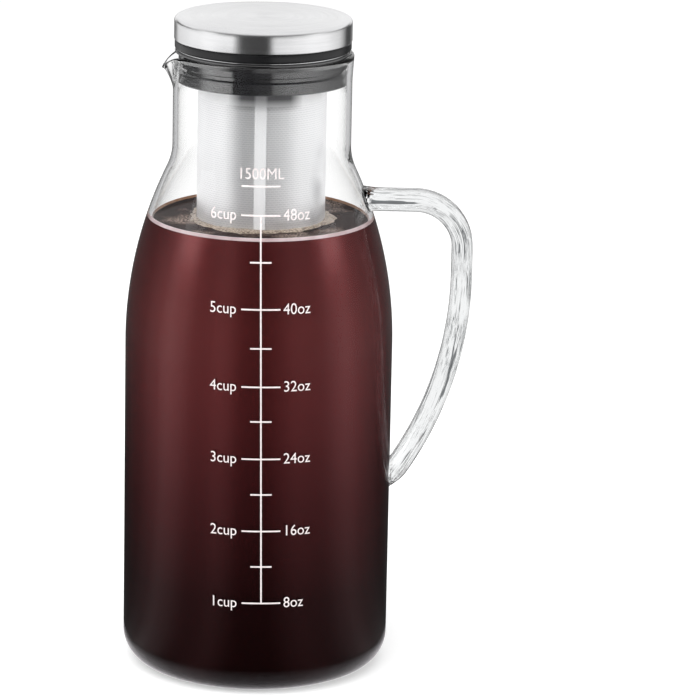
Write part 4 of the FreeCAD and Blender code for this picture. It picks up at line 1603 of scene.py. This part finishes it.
@dataclass
class PrintedScale:
    """White scale of volumes on the front of the jug.

    Levels are in millimetres, and angles in degrees to the right of the front.
    """

    jug: Carafe
    foot: float = 38.5 * MM
    top: float = 208.0 * MM
    half_width: float = 24.0 * MM
    cut: float = 0.9 * MM
    row_cut: float = 2.9 * MM
    line: float = 0.62 * MM
    long_mark: float = 7.5 * MM
    short_mark: float = 4.1 * MM
    letter: float = 6.0 * MM
    letter_narrow: float = 0.92
    left_gap: float = 9.3 * MM
    right_gap: float = 8.6 * MM
    title_rise: float = 4.4
    film: float = 0.02 * MM
    lean_top: float = 1.16
    lean_foot: float = 3.79
    cup_levels: tuple[float, ...] = (38.5, 67.6, 96.5, 125.1, 155.1, 189.6)
    half_levels: tuple[float, ...] = (53.3, 82.3, 111.4, 140.2, 172.6)
    full_level: float = 200.0

    def wrap(self, piece: Object) -> None:
        """Lay a flat drawing in the XZ plane on the glass.

        Args:
            piece: The drawing.
        """
        for corner in piece.data.vertices:
            across, depth, up = corner.co
            drop = (self.full_level - up / MM) / (self.full_level - self.cup_levels[0])
            lean = self.lean_top + (self.lean_foot - self.lean_top) * drop
            radius = self.jug.outside_radius(up) + self.film - depth
            angle = across / radius + math.radians(lean)
            corner.co = (radius * math.sin(angle), -radius * math.cos(angle), up)

    def bar(self, left: float, right: float, low: float, high: float) -> Object:
        """One thin flat bar between two ends and two edges, from the scale's line."""
        return block((right - left, self.film, high - low),
                     ((left + right) / 2, 0, (low + high) / 2))

    def score(self, piece: Object) -> None:
        """Cut a flat drawing so finely that it can follow the glass.

        Args:
            piece: The drawing.
        """
        make_active(piece)
        bpy.ops.object.mode_set(mode="EDIT")
        bpy.ops.mesh.select_all(action="SELECT")
        bpy.ops.mesh.quads_convert_to_tris()
        reach = round(self.half_width / self.cut)
        cuts = [((number * self.cut, 0, 0), (1, 0, 0)) for number in range(-reach, reach + 1)]
        rows = round((self.top - self.foot) / self.row_cut)
        cuts += [((0, 0, self.foot + number * self.row_cut), (0, 0, 1)) for number in range(rows)]
        for place, normal in cuts:
            bpy.ops.mesh.select_all(action="SELECT")
            bpy.ops.mesh.bisect(plane_co=place, plane_no=normal)
        bpy.ops.object.mode_set(mode="OBJECT")

    def words(self, text: str, across: float, level: float, align: Align) -> Object:
        """Draw a few letters.

        Args:
            text: The letters.
            across: Place of the text's edge, from the scale's line.
            level: Height of its middle, in millimetres.
            align: Side of the text that stands at its place.

        Returns:
            The flat letters.
        """
        deselect_all()
        bpy.ops.object.text_add(rotation=(math.pi / 2, 0, 0), location=(across, 0, level * MM))
        letters = bpy.context.active_object
        letters.data.body = text
        letters.data.size = self.letter
        letters.data.align_x = align.value
        letters.data.align_y = "CENTER"
        letters.data.extrude = self.film / 2
        letters.data.resolution_u = 4
        letters.scale = (self.letter_narrow, 1.0, 1.0)
        make_active(letters)
        bpy.ops.object.convert(target="MESH")
        settle(letters)
        return letters

    def make(self) -> None:
        """Build the whole scale as one piece."""
        half = self.line / 2
        parts = [self.bar(-half, half, self.foot, self.cup_levels[-1] * MM)]
        marks = [(level, self.long_mark) for level in (*self.cup_levels, self.full_level)]
        marks += [(level, self.short_mark) for level in self.half_levels]
        for level, reach in marks:
            parts.append(self.bar(-reach, reach, level * MM - half, level * MM + half))
        for number, level in enumerate(self.cup_levels, 1):
            parts.append(self.words(f"{number}cup", -self.left_gap, level, Align.RIGHT))
            parts.append(self.words(f"{number * 8}oz", self.right_gap, level, Align.LEFT))
        parts.append(self.words("1500ML", 0.0, self.full_level + self.title_rise, Align.MIDDLE))
        scale = join(parts, "printed_scale")
        self.score(scale)
        self.wrap(scale)
        dress(scale, Enamel())
        hand_over(scale, Body.CARAFE, Slot.PRINT)


# ---- Filter ------------------------------------------------


@dataclass
class Filter:
    """Steel filter: etched tube, pressed flange and cup, silicone collar."""

    wall: float = 0.5 * MM
    weld_gap: float = 0.05 * MM
    sheet: float = 0.75 * MM
    plain_band: float = 17.4 * MM
    foot_band: float = 8.0 * MM
    sleeve: float = 9.0 * MM
    cup_height: float = 6.0 * MM
    cup_rise: float = 2.0 * MM
    cup_flat: float = 3.0 * MM
    rim: float = 245.2 * MM
    collar_radius: float = 32.7 * MM
    collar_depth: float = 11.0 * MM
    collar_wall: float = 2.2 * MM
    collar_web: float = 3.2 * MM
    rib_count: int = 12
    rib_width: float = 1.6 * MM
    rib_start: float = 0.6 * MM
    groove: float = 1.2 * MM
    groove_drop: float = 5.4 * MM
    grounds_gap: float = 0.85 * MM
    grounds_foot: float = 2.9 * MM
    grounds_height: float = 88.0 * MM
    grounds_heap: float = 3 * MM
    grounds_lump: float = 0.6

    def __post_init__(self) -> None:
        """Take the heights and the radius from the frame."""
        low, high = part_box("filter_tube")
        self.bottom = low.z
        self.flange_bottom = high.z
        self.radius = high.x
        self.sleeve_radius = self.radius - self.wall - self.weld_gap
        _, self.flange_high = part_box("filter_rim")
        self.collar_low, self.collar_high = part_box("filter_collar")

    def make_tube(self) -> None:
        """Roll the etched sheet into its tube, with its lower edge eased."""
        inner = self.radius - self.wall
        lip = 0.15 * MM
        tube = lathe("filter_tube_screen", [
            (inner, self.bottom),
            (self.radius - lip, self.bottom),
            (self.radius, self.bottom + lip),
            (self.radius, self.flange_bottom, 24),
            (inner, self.flange_bottom),
            (inner, self.bottom + lip, 24),
        ], 128)
        dress(tube, EtchedScreen(bottom=self.bottom + self.foot_band, radius=self.radius,
                                 top=self.flange_bottom - self.plain_band))
        hand_over(tube, Body.FILTER, Slot.SCREEN, "filter_tube")

    def make_flange(self) -> None:
        """Press the flange, with a rolled bend down into its sleeve."""
        outer, top, low = self.flange_high.x, self.flange_high.z, self.flange_bottom
        inner = self.sleeve_radius - self.sheet
        bend = 1.2 * MM
        edge = self.sheet / 2
        flange = lathe("filter_flange", [
            (inner, low - self.sleeve),
            (self.sleeve_radius, low - self.sleeve),
            (self.sleeve_radius, low, 4),
            (outer - edge, low, 4),
            (outer, low + edge, edge, 4),
            (outer - edge, top, edge, 4),
            (inner + bend, top, 4),
            (inner, top - bend, bend, 6),
            (inner, low - self.sleeve + 0.2 * MM, 4),
        ], 128)
        dress(flange, BrushedSteel(name="bright_pressed_steel", roughness=0.16))
        hand_over(flange, Body.FILTER, Slot.STEEL, "filter_rim")

    def make_cup(self) -> None:
        """Press the cup that closes the tube, with a dome in it."""
        outer, low, rise = self.sleeve_radius, self.bottom, self.cup_rise
        inner = outer - self.sheet
        flat = inner - self.cup_flat
        soft = 0.5 * MM
        cup = lathe("filter_cup", [
            (0.0, low + rise),
            (flat - rise, low + rise, 3),
            (flat, low),
            (outer - soft, low),
            (outer, low + soft, soft, 4),
            (outer, low + self.cup_height, 3),
            (inner, low + self.cup_height),
            (inner, low + self.sheet, 3),
            (flat, low + self.sheet),
            (flat - rise, low + rise + self.sheet),
            (0.0, low + rise + self.sheet, 3),
        ])
        dress(cup, BrushedSteel(name="pressed_cup_steel", roughness=0.28, radius=self.radius))
        hand_over(cup, Body.FILTER, Slot.STEEL, "filter_base")

    def make_collar(self) -> None:
        """Mould the silicone collar: lip, grooved outer wall, and ribs in the hollow below."""
        lip, top, low = self.collar_high.x, self.collar_high.z, self.collar_low.z
        outer, rim = self.collar_radius, self.rim
        inner = self.radius + self.weld_gap
        hub = inner + self.collar_wall
        web = rim - self.collar_web
        groove = rim - self.groove_drop
        soft = 0.35 * MM
        edge = 0.15 * MM
        collar = lathe("filter_collar_ring", [
            (inner, low),
            (hub, low),
            (hub, web, 3),
            (outer - self.collar_wall, web, 2),
            (outer - self.collar_wall, low, 3),
            (outer - soft, low),
            (outer, low + soft, soft, 3),
            (outer, low + soft + edge),
            (outer, groove - self.groove - edge, 2),
            (outer, groove - self.groove),
            (outer - self.groove, groove - self.groove / 2),
            (outer - self.groove, groove + self.groove / 2),
            (outer, groove + self.groove),
            (outer, groove + self.groove + edge),
            (outer, rim - edge, 2),
            (outer, rim),
            (lip - soft, rim, 2),
            (lip, rim + soft, soft, 3),
            (lip, top - soft),
            (lip - soft, top, soft, 3),
            (inner, top, 4),
        ], 128)
        height = self.collar_depth - self.collar_web / 2 - self.rib_start
        add_ribs(collar, self.rib_count, (outer - hub, self.rib_width, height),
                 ((outer + inner) / 2, 0, low + self.rib_start + height / 2))
        dress(collar, SatinBlack(name="black_silicone"))
        hand_over(collar, Body.FILTER, Slot.SILICONE, "filter_collar")

    def make_grounds(self) -> None:
        """Heap the wet grounds in the filter."""
        reach = self.radius - self.wall - self.grounds_gap
        low = self.bottom + self.grounds_foot
        top = self.bottom + self.grounds_height
        edge = low - 1.9 * MM
        grounds = lathe("coffee_grounds", [
            (0.0, low), (reach - 5.2 * MM, low, 2), (reach - 3.1 * MM, edge), (reach, edge),
            (reach, top, 10), (0.0, top + self.grounds_heap, 10)], 64)
        for corner in grounds.data.vertices:
            if corner.co.z > top - 0.5 * MM:
                x, y = corner.co.x / MM, corner.co.y / MM
                lump = math.sin(x * 0.9) * math.cos(y * 0.7) + 0.5 * math.sin(x * 2.3 + y)
                corner.co.z += lump * MM * self.grounds_lump
        dress(grounds, Grounds())
        hand_over(grounds, Body.FILTER, Slot.COFFEE)

    def make(self) -> None:
        """Build all pieces of the filter."""
        self.make_tube()
        self.make_flange()
        self.make_cup()
        self.make_collar()
        self.make_grounds()


# ---- Lid ---------------------------------------------------


@dataclass
class Lid:
    """Steel cap on a moulded core, with a black band and a finned plug seal."""

    cap_wall: float = 0.6 * MM
    cap_round: float = 1.9 * MM
    crown: float = 0.25 * MM
    crown_radius: float = 2500 * MM
    hem: float = 1.4 * MM
    band_width: float = 8.0 * MM
    band_foot: float = 2.0 * MM
    band_notch: float = 1.0 * MM
    plug_radius: float = 21.6 * MM
    fit_gap: float = 0.05 * MM
    core_rim: float = 1.2 * MM
    hub: float = 6.0 * MM
    rib: float = 1.6 * MM
    rib_drop: float = 0.02 * MM
    rib_count: int = 8
    fin: float = 0.9 * MM
    fin_count: int = 3

    def __post_init__(self) -> None:
        """Take the boxes of the lid's parts from the frame."""
        self.cap_low, self.cap_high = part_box("lid_shell")
        self.band_low, self.band_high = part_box("lid_gasket")
        self.core_low, self.core_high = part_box("lid_core")
        self.seal_low, self.seal_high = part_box("lid_plug_seal")

    def make_cap(self) -> None:
        """Draw the steel cap, faintly crowned, with its lower edge turned in."""
        radius, top, low = self.cap_high.x, self.cap_high.z, self.cap_low.z
        inner = radius - self.cap_wall
        ceiling = top - self.cap_wall
        soft = 0.4 * MM
        cap = lathe("lid_cap", [
            (0.0, ceiling),
            (radius - self.cap_round, ceiling, 6),
            (inner, top - self.cap_round, self.cap_wall - self.cap_round, 6),
            (inner, low + self.cap_wall, 4),
            (inner - self.hem, low + self.cap_wall),
            (inner - self.hem, low),
            (radius - soft, low),
            (radius, low + soft, soft, 4),
            (radius, top - self.cap_round, 6),
            (radius - self.cap_round, top - self.crown, self.cap_round, 8),
            (0.0, top, self.crown_radius, 10),
        ], 144)
        dress(cap, BrushedSteel())
        hand_over(cap, Body.LID, Slot.STEEL, "lid_shell")

    def make_band(self) -> None:
        """Mould the black band under the cap."""
        radius, low, top = self.band_high.x, self.band_low.z, self.band_high.z
        inner, notch = radius - self.band_width, self.band_notch
        soft = 0.5 * MM
        band = lathe("lid_band", [
            (inner, low),
            (inner + self.band_foot, low),
            (inner + self.band_foot + notch, low + notch),
            (radius - self.band_foot - notch, low + notch, 2),
            (radius - self.band_foot, low),
            (radius - soft, low),
            (radius, low + soft, soft, 4),
            (radius, top - soft, 2),
            (radius - soft, top, soft, 4),
            (inner, top, 3),
        ], 128)
        dress(band, SatinBlack(name="black_silicone_band", roughness=0.24, gloss_ior=1.28))
        hand_over(band, Body.LID, Slot.SILICONE, "lid_gasket")

    def make_core(self) -> None:
        """Mould the core: plug, flange, hub and the ribs that carry the cap."""
        outer, low, ceiling = self.core_high.x, self.core_low.z, self.core_high.z
        band_top, seal, seal_top = self.band_high.z, self.seal_high.x, self.seal_high.z
        foot = band_top + self.cap_wall
        step = outer - self.hem - self.fit_gap
        soft = 0.4 * MM
        core = lathe("lid_core_moulding", [
            (0.0, low),
            (self.plug_radius - soft, low, 4),
            (self.plug_radius, low + soft, soft, 3),
            (self.plug_radius, seal_top, 3),
            (seal, seal_top),
            (seal, band_top, 2),
            (step, band_top, 3),
            (step, foot),
            (outer, foot),
            (outer, foot + self.core_rim),
            (self.hub, foot + self.core_rim, 5),
            (self.hub, ceiling, 3),
            (0.0, ceiling, 2),
        ])
        start, end = self.hub / 2, outer - self.cap_round
        height = ceiling - foot - self.core_rim / 2
        add_ribs(core, self.rib_count, (end - start, self.rib, height),
                 ((start + end) / 2, 0, ceiling - height / 2 - self.rib_drop))
        dress(core, SatinBlack(name="black_moulded_core", roughness=0.5, pores=2600.0, relief=0.12,
                               gloss_ior=1.45))
        hand_over(core, Body.LID, Slot.PLASTIC, "lid_core")

    def make_seal(self) -> None:
        """Mould the finned seal round the plug."""
        outer, low, high = self.seal_high.x, self.seal_low.z, self.seal_high.z
        inner = self.plug_radius + self.fit_gap
        root = inner + (outer - inner) * 0.45
        tip = outer - 0.2 * MM
        pitch = (high - low) / self.fin_count
        stops = [(inner, low)]
        for number in range(self.fin_count):
            foot = low + number * pitch
            stops += [(root, foot), (tip, foot + (pitch - self.fin) / 2),
                      (tip, foot + (pitch + self.fin) / 2, 0.55 * MM, 4)]
        seal = lathe("lid_seal", [*stops, (root, high), (inner, high)])
        dress(seal, SatinBlack(name="black_silicone_seal", roughness=0.3))
        hand_over(seal, Body.LID, Slot.SILICONE, "lid_plug_seal")

    def make(self) -> None:
        """Build all pieces of the lid."""
        self.make_cap()
        self.make_band()
        self.make_core()
        self.make_seal()


# ---- Studio ------------------------------------------------


@dataclass
class Studio:
    """White floor, soft lights and the camera.

    Angles are in degrees.  A lamp is its name, its azimuth to the right of the front, its
    elevation, the width and height of its face, and its power in watts.
    """

    target: Triple = (35.87 * MM, 0.0, 126.76 * MM)
    distance: float = 1663.26 * MM
    elevation: float = 14.782
    roll: float = 1.171
    focal_pixels: float = 4229.06
    frame_pixels: float = 700.0
    sensor: float = 36.0
    floor_radius: float = 6.0
    floor_level: float = -0.02 * MM
    lamp_target: Triple = (0.0, 0.0, 130 * MM)
    lamp_distance: float = 1.3
    lamps: tuple[tuple[str, float, float, Span, float], ...] = (
        ("top_softbox", -20.0, 68.0, (1.0, 0.8), 9.0),
        ("left_softbox", -72.0, 30.0, (0.5, 0.9), 3.0),
        ("right_softbox", 76.0, 30.0, (0.5, 0.9), 3.0),
    )
    sky: Colour = (0.90, 0.90, 0.90)
    sky_rise: Span = (0.45, 0.75)
    sky_behind: Span = (0.82, 0.94)
    haze: Colour = (0.26, 0.26, 0.26)
    haze_depth: Span = (-0.6, 0.3)
    haze_rise: Span = (0.14, 0.28)
    world_strength: float = 0.62

    def make_floor(self) -> None:
        """Lay the floor."""
        deselect_all()
        bpy.ops.mesh.primitive_circle_add(vertices=96, radius=self.floor_radius, fill_type="NGON",
                                          location=(0, 0, self.floor_level))
        floor = bpy.context.active_object
        name_piece(floor, "studio_floor")
        dress(floor, StudioFloor())

    def make_world(self) -> None:
        """Surround the object with white, and with soft dark gaps that only gloss shows.

        Satin pieces see a haze above the horizon, darker in front, and all gloss sees a light
        sky overhead and behind the object.  The spans are parts of the direction's unit vector.
        """
        world = bpy.data.worlds.new("white_studio")
        bpy.context.scene.world = world
        world.use_nodes = True
        nodes = Nodes(world.node_tree)
        place = nodes.add("ShaderNodeTexCoord").outputs["Generated"]
        _, y, z = nodes.split(place)
        levels = nodes.use(StudioGloss(), Place=place)
        rays = Rays(nodes)
        sides = nodes.blend(rays.from_glass, levels["Near"], levels["Inner"])
        sides = nodes.blend(rays.from_neck, sides, levels["Filter"])
        haze = nodes.blend(nodes.spread(y, *self.haze_depth), self.haze, self.sky)
        in_haze = nodes.times(rays.satin, nodes.spread(z, *self.haze_rise))
        sides = nodes.blend(in_haze, sides, haze)
        sky = nodes.math("MAXIMUM", nodes.spread(z, *self.sky_rise),
                         nodes.spread(y, *self.sky_behind))
        gloss = nodes.blend(sky, sides, self.sky)
        seen = nodes.math("MAXIMUM", rays.camera,
                          nodes.math("MAXIMUM", rays.glossy, rays.transmitted))
        nodes.fill(world.node_tree.nodes["Background"], {
            "Color": nodes.blend(rays.reflected, WHITE, gloss),
            "Strength": nodes.spread(seen, 0.0, 1.0, self.world_strength, 1.0),
        })

    def add_lamp(self, name: str, azimuth: float, elevation: float, size: Span,
                 power: float) -> None:
        """Hang one soft light.

        Args:
            name: Name of the light.
            azimuth: Bearing from the front, to the right.
            elevation: Height above the horizon.
            size: Width and height of its face.
            power: Its power in watts.
        """
        turn, rise = math.radians(azimuth), math.radians(elevation)
        away = Vector((math.sin(turn) * math.cos(rise), -math.cos(turn) * math.cos(rise),
                       math.sin(rise)))
        deselect_all()
        place = Vector(self.lamp_target) + away * self.lamp_distance
        bpy.ops.object.light_add(type="AREA", location=place)
        lamp = bpy.context.active_object
        lamp.name = name
        lamp.data.shape = "RECTANGLE"
        lamp.data.size, lamp.data.size_y = size
        lamp.data.energy = power
        lamp.visible_glossy = False
        lamp.rotation_euler = away.to_track_quat("Z", "Y").to_euler()

    def make_camera(self) -> None:
        """Set up the camera."""
        rise = math.radians(self.elevation)
        back = Vector((0.0, -math.cos(rise), math.sin(rise)))
        deselect_all()
        bpy.ops.object.camera_add(location=Vector(self.target) + back * self.distance)
        camera = bpy.context.active_object
        camera.name = "studio_camera"
        camera.data.sensor_fit = "HORIZONTAL"
        camera.data.sensor_width = self.sensor
        camera.data.lens = self.focal_pixels * self.sensor / self.frame_pixels
        camera.data.clip_start = 0.05
        camera.data.clip_end = 50.0
        aim = back.to_track_quat("Z", "Y").to_matrix().to_4x4()
        tilt = Matrix.Rotation(math.radians(self.roll), 4, "Z")
        camera.matrix_world = Matrix.Translation(camera.location) @ aim @ tilt
        bpy.context.scene.camera = camera

    def make(self) -> None:
        """Build the whole studio, with one broad light above and a tall one on each side."""
        bpy.context.scene.view_settings.view_transform = "Standard"
        self.make_floor()
        self.make_world()
        for lamp in self.lamps:
            self.add_lamp(*lamp)
        self.make_camera()


def main() -> None:
    """Build the coffee maker and its studio."""
    logging.basicConfig(level=logging.INFO, format="%(name)s %(message)s")
    carafe = Carafe()
    for assembly in (carafe, Brew(carafe), PrintedScale(carafe), Filter(), Lid(), Studio()):
        assembly.make()
    deselect_all()


if __name__ == "__main__":
    main()
